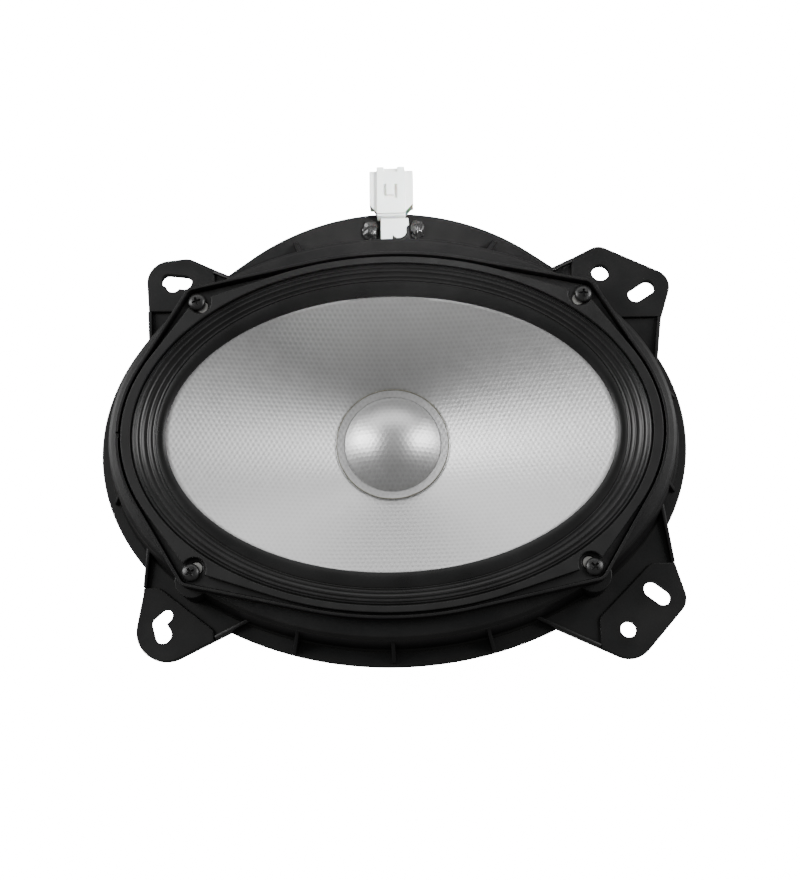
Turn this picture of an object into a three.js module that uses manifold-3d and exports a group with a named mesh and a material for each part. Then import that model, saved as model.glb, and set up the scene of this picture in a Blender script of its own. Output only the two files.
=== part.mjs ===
// A 6 x 9 inch oval car loudspeaker on its moulded door adapter.
// Millimetres, +Z towards the listener, +X along the long axis, +Y towards the connector.
// The origin is the centre of the magnet's rear face, on the axis of the driver.
import * as THREE from 'three';
import { mergeVertices } from 'three/addons/utils/BufferGeometryUtils.js';
import Module from 'manifold-3d';

const wasm = await Module();
wasm.setup();

// ---- Driving dimensions ------------------------------------------------------------------

// Heights above the magnet's rear face.
const FACE = 80;
const GASKET_BACK = FACE - 2.6;
const LIP_FRONT = FACE - 2.8;
const BASKET_FRONT = FACE - 3.7;
const BASKET_BACK = FACE - 4.9;
const SEAT = FACE - 5.2;
const SEAT_BACK = FACE - 8.2;
const DECK = FACE - 5.8;
const PAD = FACE - 20.4;
const FLANGE_FRONT = FACE - 22;
const FLANGE_BACK = FACE - 25;
const FOAM_BACK = FACE - 28;
const CONE_NECK = FACE - 30.9;
const SPIDER_LEDGE = FACE - 37;
const TOP_PLATE_FRONT = 29;
const TOP_PLATE_BACK = 23;
const BACK_PLATE_FRONT = 6;

// Ovals, as [semi-axis along X, semi-axis along Y].
const CONE_EDGE = [96.2, 60.5];
const ROLL_EDGE = [110.5, 74.3];
const BORE = [110, 73.8];
const GASKET_EDGE = [115, 77.6];
const RIM_EDGE = [117.4, 80];
const DECK_EDGE = [121.5, 88.3];
const WALL_FOOT = [123.3, 90.4];
const FLANGE_EDGE = [127.5, 96.2];
const FLANGE_SHIFT = -1.7;
const FOAM_OPENING = [122, 90];

// The flange swells behind the connector, out to a circle round this point.
const LOBE_Y = -1.3;
const LOBE = 107.6;
const LOBE_FOOT = 60;

const WALL = 2.2;
const RIM_THICKNESS = 1.3;
const RIM_CORNER = { x: 84.3, y: 60.1, radius: 5.6 };
const RIB = 1.6;
const RIB_LIFT = 0.7;
const RIB_RISE = 2.5;

// Bands of one moulding that are modelled apart keep this gap.
const GAP = 0.3;
const WALL_TOP = SEAT_BACK - GAP;

// Round parts. The dust cap's brim slopes down to the dome's foot.
const DUST_CAP_EDGE = 24.4;
const DUST_CAP_Z = FACE - 26.4;
const DOME_EDGE = 21;
const DOME_HEIGHT = 9.6;
const BRIM_DROP = 0.6;
const FORMER_OUTSIDE = 18.9;
const FORMER_INSIDE = 18.5;
const WINDING_OUTSIDE = 19.9;
const POLE = 18;
const GAP_OUTSIDE = 20.5;
const MAGNET = 45;
const STEEL_PLATE = 42;

// Frame screws: one in each corner.
const SCREW_X = 84;
const SCREW_Y = 59.4;
const SCREW_HEAD = 3.85;
const SCREW_SHANK = 1.9;
const SCREW_TURNS = [20, 0, 30, 45];

// A boss under each corner of the rim takes a frame screw.
const BOSS_Y = 62;
const BOSS = 7.4;
const PILOT = 2.2;
const PILOT_BACK = FACE - 20;

// The basket has a slot at each screw, which runs towards its middle, over a plated clip.
const SLOT = 2.8;
const SLOT_RUN = { x: 2.3, y: 2 };
const CLIP = { x: 82.4, y: 58.2, radius: 5.2 };
const CLIP_FRONT = FACE - 5.5;
const CLIP_BACK = FACE - 6.3;

// The gasket is cut back in a round notch beside each frame screw.
const NOTCH = { x: 82.3, y: 58.5, radius: 5.1 };

const CORNERS = [['top_left', -1, 1], ['top_right', 1, 1], ['bottom_left', -1, -1], ['bottom_right', 1, -1]];

// Terminals on the basket's side.
const STRIP = { halfWidth: 13, back: 31, front: 43 };
const RIVET_Z = 37;
const TAB_X = 8.5;
const TAB_TOP = 44;
const STRIP_INNER = 48.7;
const STRIP_OUTER = 50.3;

// Connector: a wide housing with a ridge along its front and a latch tongue cut in the ridge.
const PIN_X = 0.8;
const PIN_PITCH = 5;
const PIN_Z = FACE - 19.6;
const HOUSING = { left: -9, right: 10.6, foot: 104.8, mouth: 124.6, back: FACE - 23.4, front: FACE - 16 };
const RIDGE = { left: -5.6, right: 6.9, foot: 103.4, mouth: 125.6, back: FACE - 21.6, front: FACE - 13.6 };
const SOCKET_FLOOR = 111;
const HOUSING_WALL = 1.8;
const LATCH = { left: -2.6, right: 3.6, foot: 110.4, end: 117.4, gap: 1.3, back: FACE - 15.8 };

// The bracket is an upturned channel.
const BRACKET = { left: -4, right: 8.4, foot: 91.2, end: 102.3, front: FACE - 17.4 };
const BRACKET_WALL = 1.2;

// Hot-melt beside the bracket.
const GLUE = { y: 98, length: 9.2, height: 3.2 };

// Steps round a full turn.
const OVAL_STEPS = 64;
const BASKET_STEPS = 48;
const SKIN_STEPS = 40;
const ROUND_STEPS = 32;
const SCREW_STEPS = 14;
const HOLE_STEPS = 12;

// ---- Outlines ----------------------------------------------------------------------------

function oval([a, b], shift = 0, steps = OVAL_STEPS) {
  return Array.from({ length: steps }, (_, index) => {
    const angle = 2 * Math.PI * index / steps;
    return new THREE.Vector2(a * Math.cos(angle), b * Math.sin(angle) + shift);
  });
}

function circle(x, y, radius, steps = HOLE_STEPS) {
  return oval([radius, radius], 0, steps).map((point) => point.add(new THREE.Vector2(x, y)));
}

function box2(x0, y0, x1, y1) {
  return [[x0, y0], [x1, y0], [x1, y1], [x0, y1]].map(([x, y]) => new THREE.Vector2(x, y));
}

function turn(a, b, c) {
  return (b.x - a.x) * (c.y - a.y) - (b.y - a.y) * (c.x - a.x);
}

// The tightest outline round a set of points, anticlockwise.
function hull(points) {
  const sorted = [...points].sort((p, q) => p.x - q.x || p.y - q.y);
  const half = (list) => {
    const chain = [];
    for (const point of list) {
      while (chain.length > 1 && turn(chain.at(-2), chain.at(-1), point) <= 1e-9) chain.pop();
      chain.push(point);
    }
    return chain.slice(0, -1);
  };
  return [...half(sorted), ...half(sorted.reverse())];
}

// A polygon whose corners are [x, y, radius]; a corner with a radius becomes an arc.
function rounded(corners, steps = 6) {
  const points = [];
  corners.forEach(([x, y, radius = 0], index) => {
    const corner = new THREE.Vector2(x, y);
    if (!radius) {
      points.push(corner);
      return;
    }
    const before = new THREE.Vector2(...corners.at(index - 1)).sub(corner).normalize();
    const after = new THREE.Vector2(...corners[(index + 1) % corners.length]).sub(corner).normalize();
    const halfAngle = Math.acos(before.dot(after)) / 2;
    const inward = before.clone().add(after).normalize();
    const centre = inward.multiplyScalar(radius / Math.sin(halfAngle)).add(corner);
    const start = before.multiplyScalar(radius / Math.tan(halfAngle)).add(corner).sub(centre);
    const end = after.multiplyScalar(radius / Math.tan(halfAngle)).add(corner).sub(centre);
    const sweep = Math.atan2(start.cross(end), start.dot(end));
    for (let step = 0; step <= steps; step += 1) {
      const spoke = start.clone().rotateAround(new THREE.Vector2(), sweep * step / steps);
      points.push(spoke.add(centre));
    }
  });
  return points;
}

// An oval with four corners drawn out towards the screws.
function lobed(edge, cornerX, cornerY, cornerRadius) {
  const corners = CORNERS.flatMap(([, sx, sy]) => circle(sx * cornerX, sy * cornerY, cornerRadius));
  return hull([...oval(edge), ...corners]);
}

function grown(edge, amount) {
  return edge.map((semi) => semi + amount);
}

function rimOutline(inset) {
  return lobed(grown(RIM_EDGE, -inset), RIM_CORNER.x, RIM_CORNER.y, RIM_CORNER.radius - inset);
}

function flangeOutline(inset) {
  const lobe = circle(0, LOBE_Y, LOBE - inset, OVAL_STEPS).filter((point) => point.y > LOBE_FOOT);
  return hull([...oval(grown(FLANGE_EDGE, -inset), FLANGE_SHIFT), ...lobe]);
}

// ---- Solids ------------------------------------------------------------------------------

function volume(geometry) {
  const position = geometry.attributes.position;
  const corner = (index) => new THREE.Vector3().fromBufferAttribute(position, geometry.index.getX(index));
  let total = 0;
  for (let first = 0; first < geometry.index.count; first += 3) {
    total += corner(first).dot(corner(first + 1).cross(corner(first + 2)));
  }
  return total / 6;
}

// A closed geometry with shared vertices, no slivers, and its faces pointing out.
function closed(source) {
  const loose = source.clone();
  loose.deleteAttribute('normal');
  loose.deleteAttribute('uv');
  const geometry = mergeVertices(loose, 1e-4);
  const old = geometry.index.array;
  const kept = [];
  for (let first = 0; first < old.length; first += 3) {
    const [a, b, c] = old.slice(first, first + 3);
    if (a !== b && b !== c && c !== a) kept.push(a, b, c);
  }
  geometry.setIndex(kept);
  if (volume(geometry) < 0) geometry.setIndex(kept.reverse());
  return geometry;
}

function manifold(geometry) {
  const vertProperties = new Float32Array(geometry.attributes.position.array);
  const triVerts = new Uint32Array(geometry.index.array);
  return new wasm.Manifold(new wasm.Mesh({ numProp: 3, vertProperties, triVerts }));
}

function fromManifold(body) {
  const mesh = body.getMesh();
  const geometry = new THREE.BufferGeometry();
  geometry.setAttribute('position', new THREE.BufferAttribute(mesh.vertProperties, 3));
  geometry.setIndex(new THREE.BufferAttribute(mesh.triVerts, 1));
  return geometry;
}

function join(...parts) {
  return fromManifold(parts.map(manifold).reduce((all, next) => all.add(next)));
}

function cut(base, ...tools) {
  return fromManifold(tools.map(manifold).reduce((all, next) => all.subtract(next), manifold(base)));
}

function overlap(first, second) {
  return fromManifold(manifold(first).intersect(manifold(second)));
}

function plate(outline, low, high, holes = []) {
  const shape = new THREE.Shape(outline);
  shape.holes = holes.map((hole) => new THREE.Path(hole));
  const geometry = new THREE.ExtrudeGeometry(shape, { depth: high - low, bevelEnabled: false });
  return closed(geometry.translate(0, 0, low));
}

function block(x0, y0, z0, x1, y1, z1) {
  return plate(box2(x0, y0, x1, y1), z0, z1);
}

// A profile of [radius, height] turned about the Z axis. It starts and ends on the axis, or
// is a ring's section, which closes on itself.
function turned(profile, steps = ROUND_STEPS) {
  const points = profile.map(([radius, height]) => new THREE.Vector2(radius, height));
  if (profile[0][0] > 0) points.push(points[0]);
  return closed(new THREE.LatheGeometry(points, steps).rotateX(Math.PI / 2));
}

// A ring whose section is carried round an oval: each point of the section is
// [semi-axis along X, semi-axis along Y, height, shift along Y].
function ovalRing(section, steps = OVAL_STEPS) {
  const loop = [...section, section[0]];
  const geometry = new THREE.LatheGeometry(loop.map(([a, , z]) => new THREE.Vector2(a, z)), steps);
  const position = geometry.attributes.position;
  for (let step = 0; step <= steps; step += 1) {
    const angle = 2 * Math.PI * (step % steps) / steps;
    loop.forEach(([a, b, z, shift = 0], index) => {
      position.setXYZ(step * loop.length + index, a * Math.cos(angle), b * Math.sin(angle) + shift, z);
    });
  }
  return closed(geometry);
}

// A thin skin whose front follows the section from its outer edge to its inner edge.
function skin(front, thickness) {
  const back = front.map(([a, b, z]) => [a, b, z - thickness]).reverse();
  return ovalRing([...front, ...back], SKIN_STEPS);
}

// An upright wall from one point to another, whose top slopes between two heights.
function slopedWall([x0, y0], [x1, y1], topStart, topEnd, bottom, thickness) {
  const length = Math.hypot(x1 - x0, y1 - y0);
  const side = new THREE.Shape([[0, bottom], [length, bottom], [length, topEnd], [0, topStart]]
    .map(([along, height]) => new THREE.Vector2(along, height)));
  const geometry = new THREE.ExtrudeGeometry(side, { depth: thickness, bevelEnabled: false });
  geometry.translate(0, 0, -thickness / 2).rotateX(Math.PI / 2);
  geometry.rotateZ(Math.atan2(y1 - y0, x1 - x0)).translate(x0, y0, 0);
  return closed(geometry);
}

function wire(points, radius, steps = 18) {
  const path = new THREE.CatmullRomCurve3(points.map((point) => new THREE.Vector3(...point)));
  const section = new THREE.Shape(circle(0, 0, radius, 8));
  return closed(new THREE.ExtrudeGeometry(section, { steps, extrudePath: path, bevelEnabled: false }));
}

// ---- Adapter -----------------------------------------------------------------------------

// Each mounting ear: its outline, the edge between its raised pad and its sunk web, the
// bolt holes through it as chains of [x, y, radius], and the ribs along its two sides.
const EARS = {
  top_left: {
    outline: [[-105.9, 30], [-110.5, 84.4, 10], [-91, 86.5, 8], [-55, 69.3]],
    pad: box2(-120, 61.2, -79.2, 100),
    holes: [[[-92.8, 75.1, 3.4], [-100.2, 76.2, 3.2]], [[-97.9, 75.4, 3.3], [-97.9, 73.8, 3.3]]],
    ribs: [[[-108, 61.4], [-106.4, 41]], [[-79.4, 79.8], [-63, 72]]],
  },
  top_right: {
    outline: [[50.4, 66.9], [92.9, 88.5, 7], [125.4, 72.6, 8], [119.3, 53.2, 4], [114.4, 21.2]],
    pad: box2(80.8, 54.2, 140, 100),
    holes: [[[93.5, 75.5, 3.9]], [[108.7, 64.8, 3.5], [113.8, 68.1, 3.5]]],
    ribs: [[[81, 81.4], [63.4, 72.5]], [[118.5, 54], [115, 28.2]]],
  },
  bottom_left: {
    outline: [[-105.3, -30], [-107.2, -66, 4], [-113.9, -104.5, 13], [-51, -73.4]],
    pad: rounded([[-120, -63], [-100, -63, 3], [-76.6, -81.2, 3], [-75.7, -110], [-120, -110]]),
    holes: [[[-97.1, -75, 2.9], [-100.5, -78.1, 3]], [[-100.5, -78.1, 3], [-98.3, -83, 3.8]]],
    ribs: [[[-106.3, -62.8], [-104.6, -41]], [[-75.9, -84.6], [-58, -75.9]]],
  },
  bottom_right: {
    outline: [[113.8, -20], [119.7, -56, 4], [124.6, -72.2, 8], [101.8, -98, 11], [45.9, -72.3]],
    pad: rounded([[140, -55.3], [109.4, -55.3, 4], [86.9, -78, 4], [86.6, -110], [140, -110]]),
    holes: [[[98.8, -83.3, 3.4]], [[109.3, -66.6, 3.4], [113.8, -70, 3.4]]],
    ribs: [[[118.8, -55.2], [114.5, -27]], [[86.8, -90.2], [55.9, -76]]],
  },
};

function boltHoles({ holes }) {
  return holes.map((chain) => {
    const discs = chain.flatMap(([x, y, radius]) => circle(x, y, radius));
    return plate(hull(discs), FLANGE_BACK - 1, PAD + 1);
  });
}

// An ear stands outside the adapter's wall and rests against the flange.
function ear([corner, sx, sy]) {
  const { outline, pad, ribs } = EARS[corner];
  const shape = rounded(outline);
  const web = plate(shape, FLANGE_BACK, FLANGE_FRONT);
  const padArea = plate(pad, FLANGE_BACK - 1, PAD + 1);
  const raised = overlap(plate(shape, FLANGE_BACK, PAD), padArea);
  const walls = ribs.map(([outer, inner]) => {
    return slopedWall(outer, inner, PAD + RIB_LIFT, PAD + RIB_RISE, FLANGE_BACK + 1, RIB);
  });
  const wallRoom = plate(oval(grown(WALL_FOOT, GAP)), 0, FACE);
  const bossRoom = plate(boss(sx, sy, GAP), FLANGE_BACK - 1, FACE);
  const flangeRoom = plate(flangeOutline(-GAP), 0, FLANGE_FRONT + GAP);
  return cut(join(web, raised, ...walls), ...boltHoles(EARS[corner]), wallRoom, bossRoom, flangeRoom);
}

// Gussets stand between the wall and the flange: each has an angle round the oval, and a
// reach over the flange.
const GUSSETS = [
  [-164, 2.5], [-109, 6.5], [-90, 6], [-71, 6.5], [-15, 2.5], [11, 2.5], [69, 8], [109, 8], [164, 2.5],
];

function gusset([degrees, reach]) {
  const angle = THREE.MathUtils.degToRad(degrees);
  const at = ([a, b]) => [a * Math.cos(angle), b * Math.sin(angle)];
  const low = FLANGE_FRONT + GAP;
  const [start, foot] = [grown(DECK_EDGE, -0.6), grown(WALL_FOOT, reach)].map(at);
  return slopedWall(start, foot, WALL_TOP, low + RIB_LIFT, low, RIB);
}

function boss(sx, sy, gap = 0) {
  return circle(sx * SCREW_X, sy * BOSS_Y, BOSS + gap, ROUND_STEPS / 2);
}

function pilotHoles() {
  return CORNERS.map(([, sx, sy]) => {
    return plate(circle(sx * SCREW_X, sy * SCREW_Y, PILOT), PILOT_BACK, FACE);
  });
}

// The upright wall, with the gussets outside it and a slot for the lead wires.
function adapterWall() {
  const low = FLANGE_FRONT + GAP;
  const wall = ovalRing([
    [...DECK_EDGE, WALL_TOP],
    [...WALL_FOOT, low],
    [...grown(WALL_FOOT, -WALL), low],
    [...grown(DECK_EDGE, -WALL), WALL_TOP],
  ]);
  const bosses = CORNERS.map(([, sx, sy]) => plate(boss(sx, sy), low, WALL_TOP));
  const wireSlot = block(-2.6, 80, low - 1, 7, 93, FACE - 17.8);
  const basketRoom = ovalRing([
    [...BORE, WALL_TOP + 1],
    [...BORE, WALL_TOP - 3],
    [...grown(BORE, -8), FACE - 17],
    [...grown(BORE, -8), low - 1],
    [10, 10, low - 1],
    [10, 10, WALL_TOP + 1],
  ]);
  return cut(join(wall, ...bosses, ...GUSSETS.map(gusset)), ...pilotHoles(), wireSlot, basketRoom);
}

// The flat band at the front that the basket is screwed down to.
function adapterDeck() {
  const band = ovalRing([
    [...BORE, SEAT],
    [...grown(RIM_EDGE, -1), SEAT],
    [...grown(RIM_EDGE, -0.6), DECK + 0.7],
    [...grown(DECK_EDGE, -1.4), DECK],
    [...DECK_EDGE, DECK - 0.8],
    [...DECK_EDGE, SEAT_BACK],
    [...BORE, SEAT_BACK],
  ]);
  const rimRoom = plate(rimOutline(-GAP), SEAT, FACE);
  const cornerSeat = plate(rimOutline(0), SEAT_BACK, SEAT, [oval(BORE)]);
  const pockets = CORNERS.map(([, sx, sy]) => plate(clipOutline(sx, sy, GAP), CLIP_BACK - GAP, FACE));
  return cut(join(cut(band, rimRoom), cornerSeat), ...pilotHoles(), ...pockets);
}

function clipOutline(sx, sy, gap = 0) {
  return circle(sx * CLIP.x, sy * CLIP.y, CLIP.radius + gap, ROUND_STEPS / 2);
}

function slotOutline(sx, sy, radius) {
  const ends = [[SCREW_X, SCREW_Y], [SCREW_X - SLOT_RUN.x, SCREW_Y - SLOT_RUN.y]];
  return hull(ends.flatMap(([x, y]) => circle(sx * x, sy * y, radius)));
}

// A plated clip in a pocket under each corner of the basket, with a boss that fills the slot.
function screwClip(sx, sy) {
  const base = plate(clipOutline(sx, sy), CLIP_BACK, CLIP_FRONT);
  const filling = plate(slotOutline(sx, sy, SLOT - GAP), CLIP_BACK, BASKET_FRONT);
  const hole = plate(circle(sx * SCREW_X, sy * SCREW_Y, PILOT), CLIP_BACK - 1, FACE);
  return cut(join(base, filling), hole);
}

// A thin fence round the basket, notched at its left end.
function adapterRim() {
  const fence = plate(rimOutline(0), SEAT + GAP, FACE, [rimOutline(RIM_THICKNESS)]);
  return cut(fence, block(-120, -1.2, FACE - 2, -112, 1.2, FACE + 1));
}

function adapterFlange() {
  const inside = oval(grown(WALL_FOOT, -WALL));
  const ring = plate(flangeOutline(0), FLANGE_BACK, FLANGE_FRONT, [inside]);
  return cut(ring, ...Object.values(EARS).flatMap(boltHoles));
}

function rearFoamGasket() {
  return plate(flangeOutline(0.6), FOAM_BACK, FLANGE_BACK - GAP, [oval(FOAM_OPENING, 1)]);
}

// ---- Basket ------------------------------------------------------------------------------

const WINDOWS = 6;
const BASE_BACK = TOP_PLATE_FRONT + 0.3;
const BASE_FRONT = BASE_BACK + 1.2;
const BASKET_SHEET = 1.2;

function windowCutter(index) {
  const centre = index * 360 / WINDOWS;
  const spoke = (degrees, radius) => {
    const angle = THREE.MathUtils.degToRad(degrees);
    return new THREE.Vector2(radius * Math.cos(angle), radius * Math.sin(angle));
  };
  const inner = [centre + 23, centre, centre - 23].map((degrees) => spoke(degrees, 30));
  const outer = [centre - 23, centre, centre + 23].map((degrees) => spoke(degrees, 140));
  return plate([...inner, ...outer], SPIDER_LEDGE + 2, FACE - 17);
}

function basket() {
  const bowl = ovalRing([
    [109.3, 73.1, BASKET_BACK + 0.2],
    [101.5, 66.5, FACE - 15.5],
    [47.6, 47.6, SPIDER_LEDGE],
    [46.6, 46.6, SPIDER_LEDGE - BASKET_SHEET],
    [39.2, 39.2, SPIDER_LEDGE - BASKET_SHEET],
    [37.6, 37.6, BASE_BACK],
    [24, 24, BASE_BACK],
    [24, 24, BASE_FRONT],
    [36.4, 36.4, BASE_FRONT],
    [38, 38, SPIDER_LEDGE],
    [45.4, 45.4, SPIDER_LEDGE],
    [100.2, 65.2, FACE - 14.6],
    [107.6, 71.4, BASKET_FRONT - 0.4],
  ], BASKET_STEPS);
  const opening = oval([107.8, 71.6], 0, BASKET_STEPS);
  const flange = plate(rimOutline(RIM_THICKNESS + 0.4), BASKET_BACK, BASKET_FRONT, [opening]);
  const tabShelf = block(-6, 44, SPIDER_LEDGE - BASKET_SHEET, 6, 48.4, SPIDER_LEDGE);
  const tabFace = block(-6, 47.2, 31, 6, 48.4, SPIDER_LEDGE);
  const screwSlots = CORNERS.map(([, sx, sy]) => {
    return plate(slotOutline(sx, sy, SLOT), BASKET_BACK - 1, FACE);
  });
  const windows = Array.from({ length: WINDOWS }, (_, index) => windowCutter(index));
  const rivetHole = alongY([[0, 46], [1.8, 46], [1.8, 50], [0, 50]], 0, RIVET_Z);
  return cut(join(bowl, flange, tabShelf, tabFace), ...screwSlots, ...windows, rivetHole);
}

function frontGasket() {
  const ring = plate(lobed(GASKET_EDGE, 85, 58.4, 0.2), GASKET_BACK, FACE, [oval(grown(ROLL_EDGE, 0.4))]);
  const notches = CORNERS.map(([, sx, sy]) => {
    const bite = circle(sx * NOTCH.x, sy * NOTCH.y, NOTCH.radius, ROUND_STEPS / 2);
    return plate(bite, GASKET_BACK - 1, FACE + 1);
  });
  return cut(ring, ...notches);
}

// Pan-head screw with a cross recess. Each is turned a little differently, as it was driven.
function frameScrew(sx, sy, degrees) {
  const underHead = BASKET_FRONT + 0.3;
  const top = underHead + 2.5;
  const body = turned([
    [0, FACE - 17.5],
    [1.2, FACE - 16.3],
    [SCREW_SHANK, FACE - 14.5],
    [SCREW_SHANK, underHead],
    [SCREW_HEAD, underHead],
    [SCREW_HEAD, underHead + 1.1],
    [SCREW_HEAD * 0.86, top - 0.6],
    [SCREW_HEAD * 0.5, top - 0.1],
    [0, top],
  ], SCREW_STEPS);
  const arm = 1.9;
  const half = 0.5;
  const recess = join(
    block(-arm, -half, top - 1.6, arm, half, top + 1),
    block(-half, -arm, top - 1.6, half, arm, top + 1),
  );
  recess.rotateZ(THREE.MathUtils.degToRad(degrees));
  return cut(body, recess).translate(sx * SCREW_X, sy * SCREW_Y, 0);
}

// ---- Moving parts and their suspension -----------------------------------------------------

// The roll is three ridges and a plain band. Its places are fractions of the way across it.
function surround() {
  const band = [99.3, 66.9];
  const between = (part, height) => {
    const across = [0, 1].map((axis) => ROLL_EDGE[axis] + (band[axis] - ROLL_EDGE[axis]) * part);
    return [...across, height];
  };
  return skin([
    [113.4, 76.3, LIP_FRONT],
    [...ROLL_EDGE, LIP_FRONT],
    between(0.02, FACE - 1.4),
    between(0.18, FACE - 0.8),
    between(0.34, FACE - 1.8),
    between(0.46, FACE - 1.1),
    between(0.6, FACE - 2),
    between(0.72, FACE - 1.5),
    between(0.86, FACE - 2.5),
    [...band, FACE - 2.6],
    [...CONE_EDGE, FACE - 3.4],
  ], 0.6);
}

function cone() {
  const hidden = grown(CONE_EDGE, 2.6);
  return skin([
    [...hidden, FACE - 4.3],
    [...grown(CONE_EDGE, -0.4), FACE - 4.3],
    [24.6, 24.6, FACE - 27],
    [FORMER_OUTSIDE + 0.4, FORMER_OUTSIDE + 0.4, CONE_NECK],
  ], 0.8);
}

// A dome with a sloping brim round it, open underneath.
function dustCap() {
  const foot = DUST_CAP_Z - BRIM_DROP;
  const sphere = (DOME_EDGE ** 2 + DOME_HEIGHT ** 2) / (2 * DOME_HEIGHT);
  const reach = Math.asin(DOME_EDGE / sphere);
  const centre = foot + DOME_HEIGHT - sphere;
  const arc = (radius) => Array.from({ length: 6 }, (_, index) => {
    const angle = reach * index / 5;
    return [radius * Math.sin(angle), centre + radius * Math.cos(angle)];
  });
  const brim = [[DUST_CAP_EDGE, DUST_CAP_Z], [DUST_CAP_EDGE, DUST_CAP_Z - 0.4]];
  return turned([...arc(sphere), ...brim, ...arc(sphere - 0.5).reverse()]);
}

function dustCapGlue() {
  const bottom = DUST_CAP_Z + 0.1;
  return turned([
    [DUST_CAP_EDGE + 0.2, bottom],
    [DUST_CAP_EDGE + 0.8, bottom + 0.3],
    [DUST_CAP_EDGE + 0.5, bottom + 0.6],
    [DUST_CAP_EDGE - 0.2, bottom + 0.4],
    [DUST_CAP_EDGE - 0.2, bottom],
  ]);
}

function tube(inside, outside, low, high) {
  return turned([[inside, low], [outside, low], [outside, high], [inside, high]]);
}

function spider() {
  const waves = 3;
  const inside = FORMER_OUTSIDE + 0.4;
  const outside = 37;
  const front = Array.from({ length: 2 * waves + 1 }, (_, index) => {
    const radius = inside + (outside - inside) * index / (2 * waves);
    return [radius, SPIDER_LEDGE + (index % 2 ? 2.6 : 0.9)];
  });
  front.push([44.5, SPIDER_LEDGE + 0.9]);
  const back = front.map(([radius, height]) => [radius, height - 0.6]).reverse();
  return turned([...front, ...back]);
}

// ---- Motor -------------------------------------------------------------------------------

function yoke() {
  const undercut = POLE - 1.5;
  return turned([
    [0, 0],
    [STEEL_PLATE - 1, 0],
    [STEEL_PLATE, 1],
    [STEEL_PLATE, BACK_PLATE_FRONT],
    [undercut, BACK_PLATE_FRONT],
    [undercut, TOP_PLATE_BACK - 1],
    [POLE, TOP_PLATE_BACK],
    [POLE, TOP_PLATE_FRONT],
    [0, TOP_PLATE_FRONT],
  ]);
}

// ---- Terminals and wiring ------------------------------------------------------------------

// A profile of [radius, distance along Y], turned about a line parallel to Y.
function alongY(profile, x, z) {
  return turned(profile, HOLE_STEPS).rotateX(-Math.PI / 2).translate(x, 0, z);
}

function eyeletHole(x) {
  return alongY([[0, 48], [1.5, 48], [1.5, 51], [0, 51]], x, RIVET_Z);
}

function terminalStrip() {
  const board = block(-STRIP.halfWidth, STRIP_INNER, STRIP.back, STRIP.halfWidth, STRIP_OUTER, STRIP.front);
  const rivetHole = alongY([[0, 48], [1.8, 48], [1.8, 51], [0, 51]], 0, RIVET_Z);
  return cut(board, rivetHole, eyeletHole(-TAB_X), eyeletHole(TAB_X));
}

function terminalRivet() {
  const head = 2.6;
  const shank = 1.5;
  const back = [[0, 46.2], [head, 46.2], [head, 46.9], [shank, 46.9]];
  const front = [[shank, 50.6], [head, 50.6], [head, 51.3], [0, 51.3]];
  return alongY([...back, ...front], 0, RIVET_Z);
}

// A blade with a hole near its free end, staked through the strip.
function terminal(x, width) {
  const front = STRIP_OUTER + 0.3;
  const blade = block(x - width / 2, front, 25, x + width / 2, front + 0.8, TAB_TOP);
  const stake = alongY([[0, 48.4], [1.2, 48.4], [1.2, front + 0.4], [0, front + 0.4]], x, RIVET_Z);
  const hole = alongY([[0, 50], [0.8, 50], [0.8, 53], [0, 53]], x, 28);
  return cut(join(blade, stake), hole);
}

function tinselLead(side) {
  return wire([
    [side * TAB_X, 49.5, 43.4],
    [side * TAB_X, 49, 47.5],
    [side * 9, 44, 51],
    [side * 9.5, 35, 50],
    [side * 9.5, 27, 49.4],
    [side * 9.5, 24, 51],
  ], 0.6, 12);
}

function leadWire(side) {
  const pinX = PIN_X + side * PIN_PITCH / 2;
  return wire([
    [pinX, 101.4, PIN_Z],
    [pinX, 92, PIN_Z],
    [pinX, 84, PIN_Z - 0.4],
    [side * 5.5, 70, FACE - 22],
    [side * TAB_X, 59, FACE - 27],
    [side * TAB_X, 52.4, FACE - 32.5],
    [side * TAB_X, 51, TAB_TOP + 0.4],
  ], 0.8);
}

// ---- Connector -----------------------------------------------------------------------------

function pinHole(side) {
  const x = PIN_X + side * PIN_PITCH / 2;
  return block(x - 0.7, 100, PIN_Z - 0.7, x + 0.7, 113, PIN_Z + 0.7);
}

function connectorHousing() {
  const { left, right, foot, mouth, back, front } = HOUSING;
  const wide = block(left, foot, back, right, mouth, front);
  const ridge = block(RIDGE.left, RIDGE.foot, RIDGE.back, RIDGE.right, RIDGE.mouth, RIDGE.front);
  const shoulder = block(RIDGE.left, RIDGE.foot - 0.8, RIDGE.back, RIDGE.right, foot - 0.8, FACE - 15);
  const inside = [left + HOUSING_WALL, right - HOUSING_WALL];
  const socket = block(inside[0], SOCKET_FLOOR, back + 1.4, inside[1], mouth + 2, front - 1);
  const mouthNotch = block(LATCH.left + 0.2, mouth - 1.4, front + 0.6, LATCH.right, mouth + 2, FACE);
  const latchSides = [LATCH.left, LATCH.right - LATCH.gap].map((x) => {
    return block(x, LATCH.foot, LATCH.back, x + LATCH.gap, LATCH.end, FACE);
  });
  const latchFoot = block(LATCH.left, LATCH.foot, LATCH.back, LATCH.right, LATCH.foot + 1.8, FACE);
  const flangeRoom = block(left - 1, foot - 1, back - 1, right + 1, LOBE_Y + LOBE + 0.4, FLANGE_FRONT + GAP);
  const openings = [socket, mouthNotch, ...latchSides, latchFoot, pinHole(-1), pinHole(1), flangeRoom];
  return cut(join(wide, ridge, shoulder), ...openings);
}

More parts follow.
